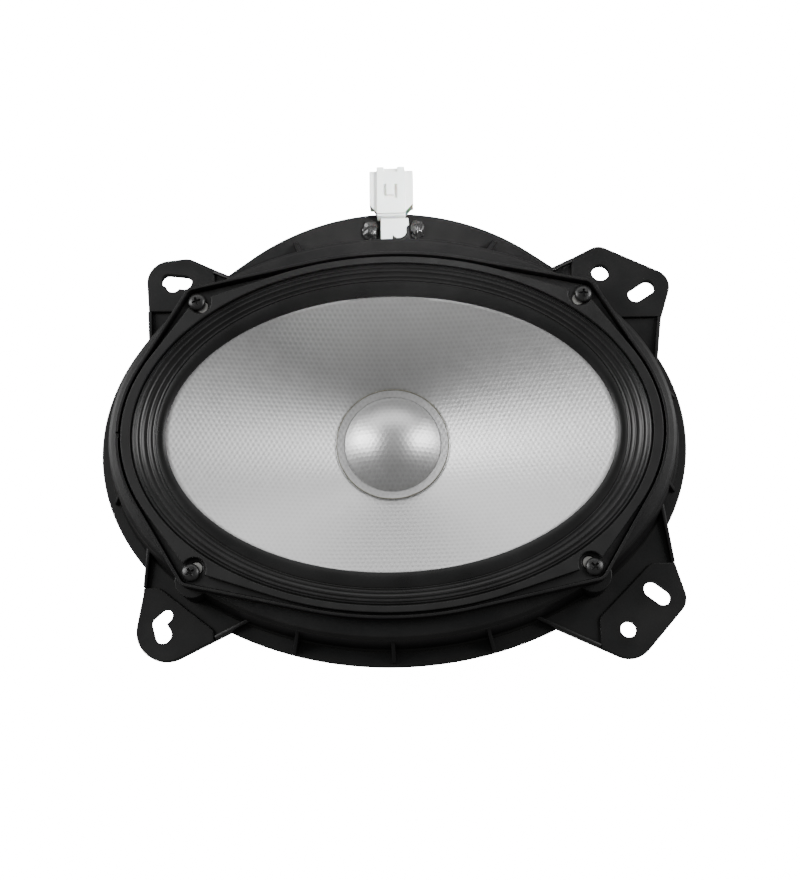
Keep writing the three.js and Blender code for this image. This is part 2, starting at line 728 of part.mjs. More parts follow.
// It carries the wires from the adapter's wall to the housing.
function connectorBracket() {
  const { left, right, foot, end, front } = BRACKET;
  const low = FLANGE_FRONT + GAP;
  const outside = block(left, foot, low, right, end, front);
  const inside = [left + BRACKET_WALL, right - BRACKET_WALL];
  const channel = block(inside[0], foot - 1, low - 1, inside[1], end + 1, front - BRACKET_WALL);
  return cut(outside, channel);
}

function connectorPin(side) {
  const x = PIN_X + side * PIN_PITCH / 2;
  return block(x - 0.4, 101.8, PIN_Z - 0.4, x + 0.4, 121, PIN_Z + 0.4);
}

// A blob of hot-melt between the bracket and the flange.
function hotGlue(x, width) {
  const low = FLANGE_FRONT + 0.1;
  const blob = new THREE.SphereGeometry(1, SCREW_STEPS, 8);
  blob.scale(width / 2, GLUE.length / 2, GLUE.height).translate(x, GLUE.y, low);
  const above = block(x - width, GLUE.y - GLUE.length, low, x + width, GLUE.y + GLUE.length, FACE);
  return overlap(closed(blob), above);
}

// ---- Assembly ------------------------------------------------------------------------------

function finish(color, roughness, metalness = 0) {
  return new THREE.MeshStandardMaterial({ color, roughness, metalness });
}

const BLACK_PLASTIC = finish(0x1c1b1b, 0.5);
const BLACK_FOAM = finish(0x141414, 0.95);
const BLACK_RUBBER = finish(0x222223, 0.6);
const BLACK_SCREW = finish(0x121212, 0.3, 0.6);
const BLACK_STEEL = finish(0x1e1e1f, 0.45, 0.2);
const ZINC = finish(0xb4b2ab, 0.35, 0.9);
const SILVER_WEAVE = finish(0xb9b9b9, 0.4, 0.35);
const OLIVE_GLUE = finish(0x4b4838, 0.3);
const PAPER = finish(0xb08c5a, 0.8);
const COPPER = finish(0xb06a3c, 0.35, 0.9);
const CLOTH = finish(0xc8a35a, 0.9);
const PLATED_STEEL = finish(0x9a9a98, 0.4, 0.9);
const FERRITE = finish(0x2e2e30, 0.7, 0.1);
const PHENOLIC = finish(0x5a3a22, 0.6);
const TINNED = finish(0xc4c4c0, 0.3, 0.95);
const BRASS = finish(0xc9a860, 0.35, 0.9);
const IVORY = finish(0xf1efe8, 0.45);
const CLEAR_GLUE = finish(0x3a3a3c, 0.15);
const RED_WIRE = finish(0x8c2a22, 0.5);
const BLACK_WIRE = finish(0x1a1a1a, 0.5);

const speaker = new THREE.Group();

function add(name, geometry, material) {
  const mesh = new THREE.Mesh(geometry, material);
  mesh.name = name;
  speaker.add(mesh);
}

add('adapter_rim', adapterRim(), BLACK_PLASTIC);
add('adapter_deck', adapterDeck(), BLACK_PLASTIC);
add('adapter_wall', adapterWall(), BLACK_PLASTIC);
add('adapter_flange', adapterFlange(), BLACK_PLASTIC);
CORNERS.forEach((corner) => add(`adapter_ear_${corner[0]}`, ear(corner), BLACK_PLASTIC));
add('rear_foam_gasket', rearFoamGasket(), BLACK_FOAM);
add('basket', basket(), BLACK_STEEL);
add('front_gasket', frontGasket(), BLACK_FOAM);
CORNERS.forEach(([corner, sx, sy], index) => {
  add(`screw_clip_${corner}`, screwClip(sx, sy), ZINC);
  add(`frame_screw_${corner}`, frameScrew(sx, sy, SCREW_TURNS[index]), BLACK_SCREW);
});

add('surround', surround(), BLACK_RUBBER);
add('cone', cone(), SILVER_WEAVE);
add('dust_cap', dustCap(), SILVER_WEAVE);
add('dust_cap_glue', dustCapGlue(), OLIVE_GLUE);
add('voice_coil_former', tube(FORMER_INSIDE, FORMER_OUTSIDE, 17.5, CONE_NECK + 1.5), PAPER);
add('voice_coil_winding', tube(FORMER_OUTSIDE + 0.1, WINDING_OUTSIDE, 18, 34), COPPER);
add('spider', spider(), CLOTH);

add('yoke', yoke(), PLATED_STEEL);
add('ferrite_magnet', tube(24, MAGNET, BACK_PLATE_FRONT + 0.2, TOP_PLATE_BACK - 0.2), FERRITE);
add('top_plate', tube(GAP_OUTSIDE, STEEL_PLATE, TOP_PLATE_BACK, TOP_PLATE_FRONT), PLATED_STEEL);

add('terminal_strip', terminalStrip(), PHENOLIC);
add('terminal_rivet', terminalRivet(), BRASS);
add('terminal_positive', terminal(-TAB_X, 4.8), TINNED);
add('terminal_negative', terminal(TAB_X, 2.8), TINNED);
add('tinsel_lead_positive', tinselLead(-1), BRASS);
add('tinsel_lead_negative', tinselLead(1), BRASS);

add('connector_housing', connectorHousing(), IVORY);
add('connector_bracket', connectorBracket(), IVORY);
add('connector_pin_positive', connectorPin(-1), BRASS);
add('connector_pin_negative', connectorPin(1), BRASS);
add('lead_wire_positive', leadWire(-1), RED_WIRE);
add('lead_wire_negative', leadWire(1), BLACK_WIRE);
add('hot_glue_left', hotGlue(-8.5, 8), CLEAR_GLUE);
add('hot_glue_right', hotGlue(12.1, 6.6), CLEAR_GLUE);

export default speaker;
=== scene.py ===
"""The looks of an oval car loudspeaker: fine surfaces, materials, camera, lights and floor.

Outlines and sections are in millimetres, in the part's own frame, and meshes in metres.
"""
import math
from itertools import pairwise

import bmesh
import bpy
import numpy as np
from mathutils import Matrix, Vector
from mathutils import noise as field


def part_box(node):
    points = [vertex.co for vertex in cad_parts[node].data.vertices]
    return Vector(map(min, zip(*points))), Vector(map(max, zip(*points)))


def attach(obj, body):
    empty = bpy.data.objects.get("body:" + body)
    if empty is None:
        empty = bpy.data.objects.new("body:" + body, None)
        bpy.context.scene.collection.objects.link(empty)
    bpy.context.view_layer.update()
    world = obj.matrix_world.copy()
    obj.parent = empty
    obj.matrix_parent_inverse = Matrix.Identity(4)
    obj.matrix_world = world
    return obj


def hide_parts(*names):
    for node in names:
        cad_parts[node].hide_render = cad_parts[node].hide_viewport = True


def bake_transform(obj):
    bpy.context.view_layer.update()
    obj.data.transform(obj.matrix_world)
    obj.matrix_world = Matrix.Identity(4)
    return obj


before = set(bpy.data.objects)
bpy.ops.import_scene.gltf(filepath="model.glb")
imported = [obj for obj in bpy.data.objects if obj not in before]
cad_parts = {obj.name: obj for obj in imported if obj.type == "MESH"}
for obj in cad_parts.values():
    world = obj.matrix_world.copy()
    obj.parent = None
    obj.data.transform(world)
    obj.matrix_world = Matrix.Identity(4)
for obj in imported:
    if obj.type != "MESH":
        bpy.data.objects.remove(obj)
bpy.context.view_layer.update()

MM = 0.001


def corner_of(node, end):
    """A node's lowest (0) or highest (1) corner, in millimetres."""
    return [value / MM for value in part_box(node)[end]]


# ---- Sizes ----

# Heights. The face of the speaker is the top of the adapter's rim.
FACE = corner_of("adapter_rim", 1)[2]
SEAT = FACE - 5.2
SEAT_BACK = FACE - 8.2
DECK = FACE - 5.8
PAD = FACE - 20.4
FLANGE_FRONT = FACE - 22
FLANGE_BACK = corner_of("adapter_flange", 0)[2]
LIP = FACE - 2.8
CONE_FRONT = FACE - 4.3
CONE_THROAT = FACE - 27
CONE_NECK = FACE - 30.9
DUST_CAP_Z = FACE - 26.4
SPIDER_LEDGE = FACE - 37
PIN_Z = FACE - 19.6
BRACKET_FRONT = FACE - 17.4

# Ovals, as semi-axes along X and Y.
CONE_EDGE = (96.2, 60.5)
BAND_EDGE = (100.2, 67)
ROLL_EDGE = (110.5, 74.3)
LIP_EDGE = (113.4, 76.3)
BORE = (110, 73.8)
GASKET_EDGE = (115, 77.6)
RIM_EDGE = (117.4, 80)
DECK_EDGE = (121.5, 88.3)
WALL_FOOT = (123.3, 90.4)
FLANGE_EDGE = (127.5, 96.2)
FLANGE_SHIFT = -1.7
FOAM_OPENING = (122, 90)
WALL = 2.2
RIM_THICKNESS = 1.3
RIM_CORNER = (84.3, 60.1)
RIM_CORNER_RADIUS = 5.6
GASKET_CORNER = (85, 58.4)
GASKET_CORNER_RADIUS = 0.2
RIB = 1.6
BOSS_Y = 62
BOSS_RADIUS = 7.4

# The flange swells behind the connector, out to a circle round a point on the Y axis.
LOBE_Y = -1.3
LOBE = 107.6
LOBE_FOOT = 60

# The frame screws stand in the four corners, in slots of the basket over plated clips.
SCREW = (84, 59.4)
SCREW_HEAD = 3.85
SLOT = 2.8
SLOT_RUN = (2.3, 2)
CLIP = (82.4, 58.2)
CLIP_RADIUS = 5.2
NOTCH = (82.3, 58.5)
NOTCH_RADIUS = 5.1
CORNERS = {"top_left": (-1, 1), "top_right": (1, 1), "bottom_left": (-1, -1), "bottom_right": (1, -1)}
SCREW_TURNS = {"top_left": 20, "top_right": 0, "bottom_left": 30, "bottom_right": 45}

# Round parts.
DOME_EDGE = 21
DOME_HEIGHT = 9.6
BRIM_DROP = 0.6
DUST_CAP_EDGE = 24.4
THROAT = (24.6, 24.6)
FORMER_OUTSIDE = 18.9
FORMER_INSIDE = 18.5

WEAVE_PITCH = 2.2
OVAL_STEPS = 288
ROUND_STEPS = 128

# ---- Plane outlines ----


def oval(edge, shift=0.0, steps=OVAL_STEPS):
    angle = np.linspace(0, 2 * np.pi, steps, endpoint=False)
    return np.column_stack([edge[0] * np.cos(angle), edge[1] * np.sin(angle) + shift])


def circle(x, y, radius, steps=40):
    return oval((radius, radius), 0.0, steps) + (x, y)


def shrunk(edge, inset):
    return tuple(semi - inset for semi in edge)


def lobed(edge, corner, radius, steps=720):
    """An oval with four corners drawn out: its points, and the direction out at each."""
    angle = np.linspace(0, 2 * np.pi, steps, endpoint=False)
    out = np.column_stack([np.cos(angle), np.sin(angle)])
    reach = np.hypot(edge[0] * out[:, 0], edge[1] * out[:, 1])
    points = np.square(edge) * out / reach[:, None]
    centre = np.sign(np.round(out, 9)) * corner
    beyond = np.sum(centre * out, axis=1) + radius > reach
    return np.where(beyond[:, None], centre + radius * out, points), out


def hull(points):
    """The tightest outline round a set of points, anticlockwise."""
    ordered = sorted(set(map(tuple, points)))

    def half(chain_points):
        chain = []
        for point in chain_points:
            while len(chain) > 1 and area_sign(chain[-2], chain[-1], point) <= 0:
                chain.pop()
            chain.append(point)
        return chain[:-1]

    return np.array(half(ordered) + half(ordered[::-1]))


def area_sign(a, b, c):
    return (b[0] - a[0]) * (c[1] - a[1]) - (b[1] - a[1]) * (c[0] - a[0])


def rounded(corners, steps=12):
    """A polygon of (x, y) or (x, y, radius) corners, where a radius makes an arc."""
    points = []
    spots = [np.array(corner[:2], float) for corner in corners]
    for index, corner in enumerate(corners):
        spot = spots[index]
        if len(corner) == 2:
            points.append(spot)
            continue
        before = unit(spots[index - 1] - spot)
        after = unit(spots[(index + 1) % len(spots)] - spot)
        half_angle = math.acos(before @ after) / 2
        centre = spot + unit(before + after) * corner[2] / math.sin(half_angle)
        tangent = corner[2] / math.tan(half_angle)
        start = spot + before * tangent - centre
        end = spot + after * tangent - centre
        sweep = math.atan2(start[0] * end[1] - start[1] * end[0], start @ end)
        for angle in np.linspace(0, sweep, steps + 1):
            turn = np.array([[math.cos(angle), -math.sin(angle)], [math.sin(angle), math.cos(angle)]])
            points.append(centre + turn @ start)
    return np.array(points)


def unit(vector):
    return vector / np.linalg.norm(vector)


def dense(outline, gap=0.6):
    """The same outline with a point at least every gap along it."""
    points = []
    for start, end in zip(outline, np.roll(outline, -1, axis=0)):
        count = max(1, math.ceil(np.linalg.norm(end - start) / gap))
        points += [start + (end - start) * step / count for step in range(count)]
    return np.array(points)


def left_over(points, outside):
    """The points that are outside, in order from the first one after those that are not."""
    first = next(i for i in range(len(points)) if outside[i] and not outside[i - 1])
    order = [(first + i) % len(points) for i in range(len(points))]
    return [points[i] for i in order if outside[i]]


def without_oval(outline, edge, steps=60):
    """The stretch of an outline outside an oval, closed along the oval."""
    points = dense(outline)
    kept = left_over(points, np.sum((points / edge) ** 2, axis=1) > 1)
    start, end = (math.atan2(*(p / edge)[::-1]) for p in (kept[-1], kept[0]))
    sweep = (end - start + math.pi) % (2 * math.pi) - math.pi
    return np.vstack([kept, arc_points(edge, start + np.linspace(0, sweep, steps))])


def notched(outline, centre, radius, steps=40):
    """An outline with a round bite out of it, on the side towards the middle."""
    points = dense(outline)
    kept = left_over(points, np.linalg.norm(points - centre, axis=1) > radius)
    start, end = (math.atan2(*(p - centre)[::-1]) for p in (kept[-1], kept[0]))
    turn = (end - start) % (2 * math.pi)
    sweeps = [np.linspace(0, sweep, steps) for sweep in (turn, turn - 2 * math.pi)]
    arcs = [arc_points((radius, radius), start + sweep) + centre for sweep in sweeps]
    inner = min(arcs, key=lambda arc: np.linalg.norm(arc[steps // 2]))
    return np.vstack([kept, inner[1:-1]])


def arc_points(edge, angles):
    return np.column_stack([np.cos(angles), np.sin(angles)]) * edge


def clipped(outline, window):
    """The part of an outline inside a convex window."""
    points = [np.array(point) for point in outline]
    if signed_area(window) < 0:
        window = window[::-1]
    for start, end in zip(window, np.roll(window, -1, axis=0)):
        kept = []
        for a, b in zip(points, points[1:] + points[:1]):
            side_a, side_b = area_sign(start, end, a), area_sign(start, end, b)
            if side_a >= 0:
                kept.append(a)
            if side_a * side_b < 0:
                kept.append(a + (b - a) * side_a / (side_a - side_b))
        points = kept
    return np.array(points)


def signed_area(outline):
    after = np.roll(outline, -1, axis=0)
    return np.sum(outline[:, 0] * after[:, 1] - after[:, 0] * outline[:, 1]) / 2


# ---- Shells: closed surfaces as (vertices, faces) ----


def loft(rings):
    """A closed surface through rings of points, where the last ring meets the first."""
    count = len(rings[0])
    faces = []
    for ring in range(len(rings)):
        here, there = ring * count, (ring + 1) % len(rings) * count
        for step in range(count):
            after = (step + 1) % count
            faces.append((here + step, here + after, there + after, there + step))
    return np.vstack(rings), faces


def merged(*shells):
    vertices, faces, offset = [], [], 0
    for points, polygons in shells:
        vertices.append(points)
        faces += [tuple(index + offset for index in polygon) for polygon in polygons]
        offset += len(points)
    return np.vstack(vertices), faces


def level(points, height):
    return np.column_stack([points, np.full(len(points), height)])


def eased(section, radius, steps=4):
    """A closed section with its corners rounded, and a point to hold each flat beside them."""
    corners = [np.array(point, float) for point in section]
    result = []
    for index, corner in enumerate(corners):
        arms = []
        for other in (corners[index - 1], corners[(index + 1) % len(corners)]):
            length = np.linalg.norm(other - corner)
            arms.append((other - corner) / length * min(radius, 0.4 * length))
        result.append(corner + arms[0] * 1.2)
        for share in np.linspace(0, 1, steps + 1):
            result.append(corner + arms[0] * (1 - share) ** 2 + arms[1] * share**2)
        result.append(corner + arms[1] * 1.2)
    return result


def oval_ring(section, steps=OVAL_STEPS):
    """A ring with section points of (semi-axis along X, semi-axis along Y, height, shift along Y)."""
    full = [(*point, 0.0)[:4] for point in section]
    return loft([level(oval((a, b), shift, steps), z) for a, b, z, shift in full])


def turned(section, steps=ROUND_STEPS):
    """A closed section of (radius, height) turned about the Z axis."""
    return oval_ring([(max(r, 0.0), max(r, 0.0), z) for r, z in section], steps)


def skin(front, thickness, steps=OVAL_STEPS):
    """A thin sheet whose front follows a section from its outer edge to its inner edge."""
    back = [(a, b, z - thickness) for a, b, z in front[::-1]]
    return oval_ring([*front, *back], steps)


def fence(outline, out, section):
    """A wall along an outline with section points of (inset, height)."""
    return loft([level(outline - inset * out, height) for inset, height in section])


def plate(outline, low, high, edge=0.3, holes=(), steps=3):
    """A flat plate with rounded edges and through holes."""
    bm = bmesh.new()
    cap_edges = ([], [])
    turns = np.linspace(0, math.pi / 2, steps + 1)
    arc = [(edge * (1 - math.sin(turn)), edge * (1 - math.cos(turn))) for turn in turns]
    section = [(edge * 1.5, low)] + [(inset, low + rise) for inset, rise in arc]
    section += [(inset, high - rise) for inset, rise in arc[::-1]] + [(edge * 1.5, high)]
    for loop, side in ((outline, 1), *((hole, -1) for hole in holes)):
        if signed_area(loop) < 0:
            loop = loop[::-1]
        inward = side * inward_directions(loop)
        rings = [[bm.verts.new((x, y, z)) for x, y in loop + inset * inward] for inset, z in section]
        for ring, following in pairwise(rings):
            for i in range(len(ring)):
                bm.faces.new((ring[i - 1], ring[i], following[i], following[i - 1]))
        for cap, ring in zip(cap_edges, (rings[0], rings[-1])):
            cap += [bm.edges.get((ring[i - 1], ring[i])) for i in range(len(ring))]
    for cap in cap_edges:
        bmesh.ops.triangle_fill(bm, use_beauty=True, edges=cap)
    return shell_from(bm)


def inward_directions(loop):
    """The mitred direction into an anticlockwise loop at each of its points."""
    along = np.roll(loop, -1, axis=0) - loop
    along /= np.linalg.norm(along, axis=1)[:, None]
    normal = np.column_stack([-along[:, 1], along[:, 0]])
    both = normal + np.roll(normal, 1, axis=0)
    return both / np.maximum(1 + np.sum(normal * np.roll(normal, 1, axis=0), axis=1), 0.5)[:, None]


def shell_from(bm):
    bm.verts.index_update()
    vertices = np.array([vertex.co[:] for vertex in bm.verts])
    faces = [tuple(vertex.index for vertex in face.verts) for face in bm.faces]
    bm.free()
    return vertices, faces


def block(low, high, edge=0.3, steps=2):
    """A box with rounded edges."""
    bm = bmesh.new()
    bmesh.ops.create_cube(bm, size=1)
    middle, size = (np.add(low, high) / 2, np.subtract(high, low))
    for vertex in bm.verts:
        vertex.co = Vector(middle + np.array(vertex.co) * size)
    if edge:
        bmesh.ops.bevel(bm, geom=bm.edges[:], offset=edge, segments=steps, profile=0.5, affect="EDGES")
    return shell_from(bm)


def sloped_wall(start, end, top_start, top_end, bottom, thickness=RIB, edge=0.3):
    """An upright wall between two plane points, whose top slopes between two heights."""
    vertices, faces = block((0, -thickness / 2, 0), (1, thickness / 2, 1), 0)
    start, end = np.array(start, float), np.array(end, float)
    length = np.linalg.norm(end - start)
    along = (end - start) / length
    top = top_start + (top_end - top_start) * vertices[:, 0]
    height = bottom + (top - bottom) * vertices[:, 2]
    across = (-along[1], along[0])
    spots = start + np.outer(vertices[:, 0] * length, along) + np.outer(vertices[:, 1], across)
    return bevelled((np.column_stack([spots, height]), faces), edge)


def bevelled(shell, edge, steps=2):
    bm = bmesh_of(shell)
    bmesh.ops.bevel(bm, geom=bm.edges[:], offset=edge, segments=steps, profile=0.5, affect="EDGES")
    return shell_from(bm)


def bmesh_of(shell):
    """A bmesh with shared vertices, no loose edges and its faces pointing out."""
    vertices, faces = shell
    bm = bmesh.new()
    made = [bm.verts.new(vertex) for vertex in vertices]
    for face in faces:
        bm.faces.new([made[index] for index in face])
    bmesh.ops.remove_doubles(bm, verts=bm.verts[:], dist=1e-4)
    loose = [edge for edge in bm.edges if not edge.link_faces]
    bmesh.ops.delete(bm, geom=loose, context="EDGES")
    bmesh.ops.recalc_face_normals(bm, faces=bm.faces[:])
    return bm


def carved(base, *cutters):
    """A closed shell with other closed shells cut out of it."""
    target = scratch_object(base)
    tools = [scratch_object(cutter) for cutter in cutters]
    for tool in tools:
        modifier = target.modifiers.new("cut", "BOOLEAN")
        modifier.operation = "DIFFERENCE"
        modifier.solver = "EXACT"
        modifier.object = tool
    evaluated = target.evaluated_get(bpy.context.evaluated_depsgraph_get())
    bm = bmesh.new()
    bm.from_mesh(evaluated.to_mesh())
    evaluated.to_mesh_clear()
    for used in (target, *tools):
        bpy.data.objects.remove(used)
    return shell_from(bm)


def scratch_object(shell):
    mesh = bpy.data.meshes.new("scratch")
    bm = bmesh_of(shell)
    bm.to_mesh(mesh)
    bm.free()
    scratch = bpy.data.objects.new("scratch", mesh)
    bpy.context.scene.collection.objects.link(scratch)
    return scratch


def swept(points, radius, sides=16, gap=0.5):
    """A round wire along a smooth curve through the points."""
    path = catmull_rom(points, gap)
    along = np.gradient(path, axis=0)
    along /= np.linalg.norm(along, axis=1)[:, None]
    across = np.cross(along[0], (1, 0, 0) if abs(along[0][0]) < 0.9 else (0, 1, 0))
    rings = []
    for spot, forward in zip(path, along):
        across = unit(across - forward * (across @ forward))
        other = np.cross(forward, across)
        turn = np.linspace(0, 2 * np.pi, sides, endpoint=False)
        rings.append(spot + radius * (np.outer(np.cos(turn), across) + np.outer(np.sin(turn), other)))
    vertices, faces = loft(rings)
    faces = faces[: -sides]
    faces += [tuple(range(sides)), tuple(range(len(vertices) - sides, len(vertices)))]
    return vertices, faces


def catmull_rom(points, gap):
    spots = [np.array(point, float) for point in points]
    spots = [2 * spots[0] - spots[1], *spots, 2 * spots[-1] - spots[-2]]
    path = []
    for a, b, c, d in zip(spots, spots[1:], spots[2:], spots[3:]):
        count = max(2, math.ceil(np.linalg.norm(c - b) / gap))
        for share in np.arange(count) / count:
            bend = 2 * b + (c - a) * share + (2 * a - 5 * b + 4 * c - d) * share**2
            path.append((bend + (3 * b - a - 3 * c + d) * share**3) / 2)
    return np.array([*path, spots[-2]])


# ---- Pieces ----


def show(name, shell, finish, slot, body=None, replaces=(), sharp=32):
    """Makes a piece from a shell, and lets it ride on a body and stand for CAD nodes."""
    mesh = bpy.data.meshes.new(name)
    bm = bmesh_of(shell)
    bm.to_mesh(mesh)
    bm.free()
    mesh.transform(Matrix.Scale(MM, 4))
    mesh.shade_smooth()
    mesh.set_sharp_from_angle(angle=math.radians(sharp))
    mesh.materials.append(finish)
    made = bpy.data.objects.new(name, mesh)
    bpy.context.scene.collection.objects.link(made)
    if body:
        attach(made, body)
    if replaces:
        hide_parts(*replaces)
    return made


def fine_shell(node, edge, steps=3):
    """A CAD node's shape again, with its facets merged into flat faces and its edges rounded."""
    bm = bmesh.new()
    bm.from_mesh(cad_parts[node].data)
    bmesh.ops.scale(bm, vec=(1 / MM,) * 3, verts=bm.verts[:])
    bmesh.ops.remove_doubles(bm, verts=bm.verts[:], dist=1e-3)
    bmesh.ops.dissolve_limit(bm, angle_limit=math.radians(2), verts=bm.verts[:], edges=bm.edges[:])
    corners = [e for e in bm.edges if e.is_manifold and e.calc_face_angle(0) > math.radians(40)]
    bmesh.ops.bevel(
        bm, geom=corners, offset=edge, segments=steps, profile=0.5, affect="EDGES", clamp_overlap=True
    )
    return shell_from(bm)


def fine_copy(node, edge, finish, slot, steps=3):
    show(f"{node}_fine", fine_shell(node, edge, steps), finish, slot, "frame", (node,))


# ---- Materials ----


class Finish:
    """A procedural material under construction: a Principled shader and the nodes feeding it."""

    def __init__(self, name, color, roughness, **sockets):
        self.material = bpy.data.materials.new(name)
        self.material.use_nodes = True
        self.nodes = self.material.node_tree.nodes
        self.links = self.material.node_tree.links
        self.shader = self.nodes["Principled BSDF"]
        self.shader.inputs["Base Color"].default_value = (*color, 1)
        self.shader.inputs["Roughness"].default_value = roughness
        for socket, value in sockets.items():
            self.shader.inputs[socket.replace("_", " ")].default_value = value
        self.place = self.nodes.new("ShaderNodeTexCoord").outputs["Object"]
        self.normal = None

    def make(self, kind, inputs, **settings):
        """Adds a node. An input is a value, or another node's output."""
        node = self.nodes.new(kind)
        for setting, value in settings.items():
            setattr(node, setting, value)
        for socket, value in inputs.items():
            if isinstance(value, bpy.types.NodeSocket):
                self.links.new(value, node.inputs[socket])
            else:
                node.inputs[socket].default_value = value
        return node

    def math(self, operation, first, second=0.0):
        return self.make("ShaderNodeMath", {0: first, 1: second}, operation=operation).outputs[0]

    def noise(self, size, detail=3.0, stretch=(1, 1, 1)):
        """Noise from 0 to 1 with features of about a size in millimetres."""
        place = self.make("ShaderNodeMapping", {"Vector": self.place, "Scale": stretch}).outputs[0]
        inputs = {"Vector": place, "Scale": 1 / (size * MM), "Detail": detail}
        return self.make("ShaderNodeTexNoise", inputs).outputs[0]

    def cells(self, size):
        inputs = {"Vector": self.place, "Scale": 1 / (size * MM)}
        return self.make("ShaderNodeTexVoronoi", inputs).outputs["Color"]

    def wave(self, direction):
        """A cosine of the place along a direction, whose length is in radians per metre."""
        inputs = {0: self.place, 1: direction}
        along = self.make("ShaderNodeVectorMath", inputs, operation="DOT_PRODUCT").outputs["Value"]
        return self.math("COSINE", along)

    def ranged(self, value, low, high, source=(0.3, 0.7)):
        inputs = {"Value": value, "To Min": low, "To Max": high}
        inputs |= {"From Min": source[0], "From Max": source[1]}
        return self.make("ShaderNodeMapRange", inputs).outputs[0]

    def color(self, factor, first, second, source=(0.3, 0.7)):
        """The base colour goes from one colour to another with a factor."""
        factor = self.ranged(factor, 0.0, 1.0, source)
        mix = self.make("ShaderNodeMix", {"Factor": factor}, data_type="RGBA")
        mix.inputs["A"].default_value = (*first, 1)
        mix.inputs["B"].default_value = (*second, 1)
        self.links.new(mix.outputs["Result"], self.shader.inputs["Base Color"])

    def roughness(self, factor, low, high, source=(0.3, 0.7)):
        self.links.new(self.ranged(factor, low, high, source), self.shader.inputs["Roughness"])

    def bump(self, height, depth, strength=1.0):
        """Relief of a depth in millimetres, on top of any relief already there."""
        inputs = {"Height": height, "Distance": depth * MM, "Strength": strength}
        if self.normal:
            inputs["Normal"] = self.normal
        self.normal = self.make("ShaderNodeBump", inputs).outputs[0]
        self.links.new(self.normal, self.shader.inputs["Normal"])


def grey(value):
    return (value, value, value)


def black_plastic():
    finish = Finish("moulded_black_plastic", grey(0.012), 0.45, Specular_IOR_Level=0.23)
    broad, fine = finish.noise(14), finish.noise(0.35)
    finish.color(broad, (0.0050, 0.0050, 0.0052), (0.0075, 0.0073, 0.0072))
    finish.roughness(finish.math("ADD", broad, fine), 0.38, 0.52, (0.7, 1.3))
    finish.bump(finish.noise(30, 2), 0.25, 0.5)
    finish.bump(fine, 0.012)
    return finish.material


def black_gasket():
    finish = Finish("satin_black_gasket", grey(0.014), 0.6, Specular_IOR_Level=0.26)
    broad, fine = finish.noise(9), finish.noise(0.5)
    finish.color(broad, grey(0.005), grey(0.008))
    finish.roughness(broad, 0.52, 0.64)
    finish.bump(fine, 0.03)
    return finish.material


def open_foam():
    finish = Finish("black_open_foam", grey(0.012), 0.95)
    pores, broad = finish.cells(0.7), finish.noise(6)
    finish.color(broad, grey(0.007), grey(0.018))
    finish.bump(pores, 0.25)
    return finish.material


def black_rubber():
    finish = Finish("black_rubber", grey(0.012), 0.3, Specular_IOR_Level=0.28)
    broad, fine = finish.noise(18), finish.noise(0.4)
    finish.color(broad, grey(0.006), grey(0.009))
    finish.roughness(broad, 0.27, 0.33)
    finish.bump(fine, 0.01)
    return finish.material


def silver_weave():
    """Silvered cone skin with a fine triangular emboss."""
    finish = Finish("silver_weave", grey(0.55), 0.4, Metallic=0.95)
    number = 4 * math.pi / (math.sqrt(3) * WEAVE_PITCH * MM)
    turns = [math.radians(angle) for angle in (30, 90, 150)]
    waves = [finish.wave((number * math.cos(turn), number * math.sin(turn), 0)) for turn in turns]
    lattice = finish.math("ADD", finish.math("ADD", waves[0], waves[1]), waves[2])
    # The dimples are painted darker than the crests: painted shade in the emboss's hollows.
    finish.color(lattice, grey(0.57), grey(0.51), (-1.5, 3))
    finish.roughness(finish.noise(5), 0.38, 0.42)
    finish.bump(finish.math("MULTIPLY", lattice, -1.0), 0.008)
    return finish.material


def simple_metal(name, color, second, low, high, size=3):
    finish = Finish(name, color, low, Metallic=1.0)
    broad, fine = finish.noise(size), finish.noise(0.3)
    finish.color(broad, color, second)
    finish.roughness(broad, low, high)
    finish.bump(fine, 0.008)
    return finish.material


def zinc():
    finish = Finish("zinc_plated_steel", (0.6, 0.6, 0.57), 0.35, Metallic=1.0)
    spangle, broad = finish.cells(4), finish.noise(12)
    finish.color(spangle, (0.50, 0.50, 0.48), (0.66, 0.66, 0.63), (0, 1))
    finish.roughness(broad, 0.28, 0.42)
    finish.bump(finish.noise(0.6), 0.01)
    return finish.material


def dull(name, color, second, low, high, size=3.0, grain=0.3, depth=0.02, **sockets):
    """A plain moulded or pressed material with a slow change of colour and a fine grain."""
    finish = Finish(name, color, low, **sockets)
    broad = finish.noise(size)
    finish.color(broad, color, second)
    finish.roughness(broad, low, high)
    finish.bump(finish.noise(grain), depth)
    return finish.material


def clear_glue():
    """Clear glue over black plastic, which reads as black and glossy."""
    finish = Finish("hot_melt", grey(0.02), 0.12, Specular_IOR_Level=0.6)
    streaks = finish.noise(1.2, 2.0, (3, 0.6, 1))
    finish.color(streaks, grey(0.006), grey(0.02))
    finish.roughness(finish.noise(2), 0.10, 0.30)
    finish.bump(streaks, 0.2)
    return finish.material


def cloth():
    """The spider's resin-treated weave."""
    finish = Finish("spider_cloth", (0.5, 0.3, 0.08), 0.8, Sheen_Weight=0.2)
    number = 2 * math.pi / (0.7 * MM)
    weave = finish.math("MULTIPLY", finish.wave((number, 0, 0)), finish.wave((0, number, 0)))
    # The low cells of the weave are painted darker: painted shade in its hollows.
    finish.color(weave, (0.34, 0.2, 0.05), (0.55, 0.36, 0.12), (-1, 1))
    finish.roughness(finish.noise(4), 0.7, 0.88)
    finish.bump(weave, 0.08)
    return finish.material


def copper_winding():
    finish = Finish("copper_winding", (0.65, 0.25, 0.1), 0.35, Metallic=0.9)
    rounds = finish.wave((0, 0, 2 * math.pi / (0.35 * MM)))
    # The grooves between turns are painted darker: painted shade.
    finish.color(rounds, (0.4, 0.13, 0.05), (0.72, 0.3, 0.14), (-1, 1))
    finish.roughness(finish.noise(2), 0.28, 0.42)
    finish.bump(rounds, 0.06)
    return finish.material


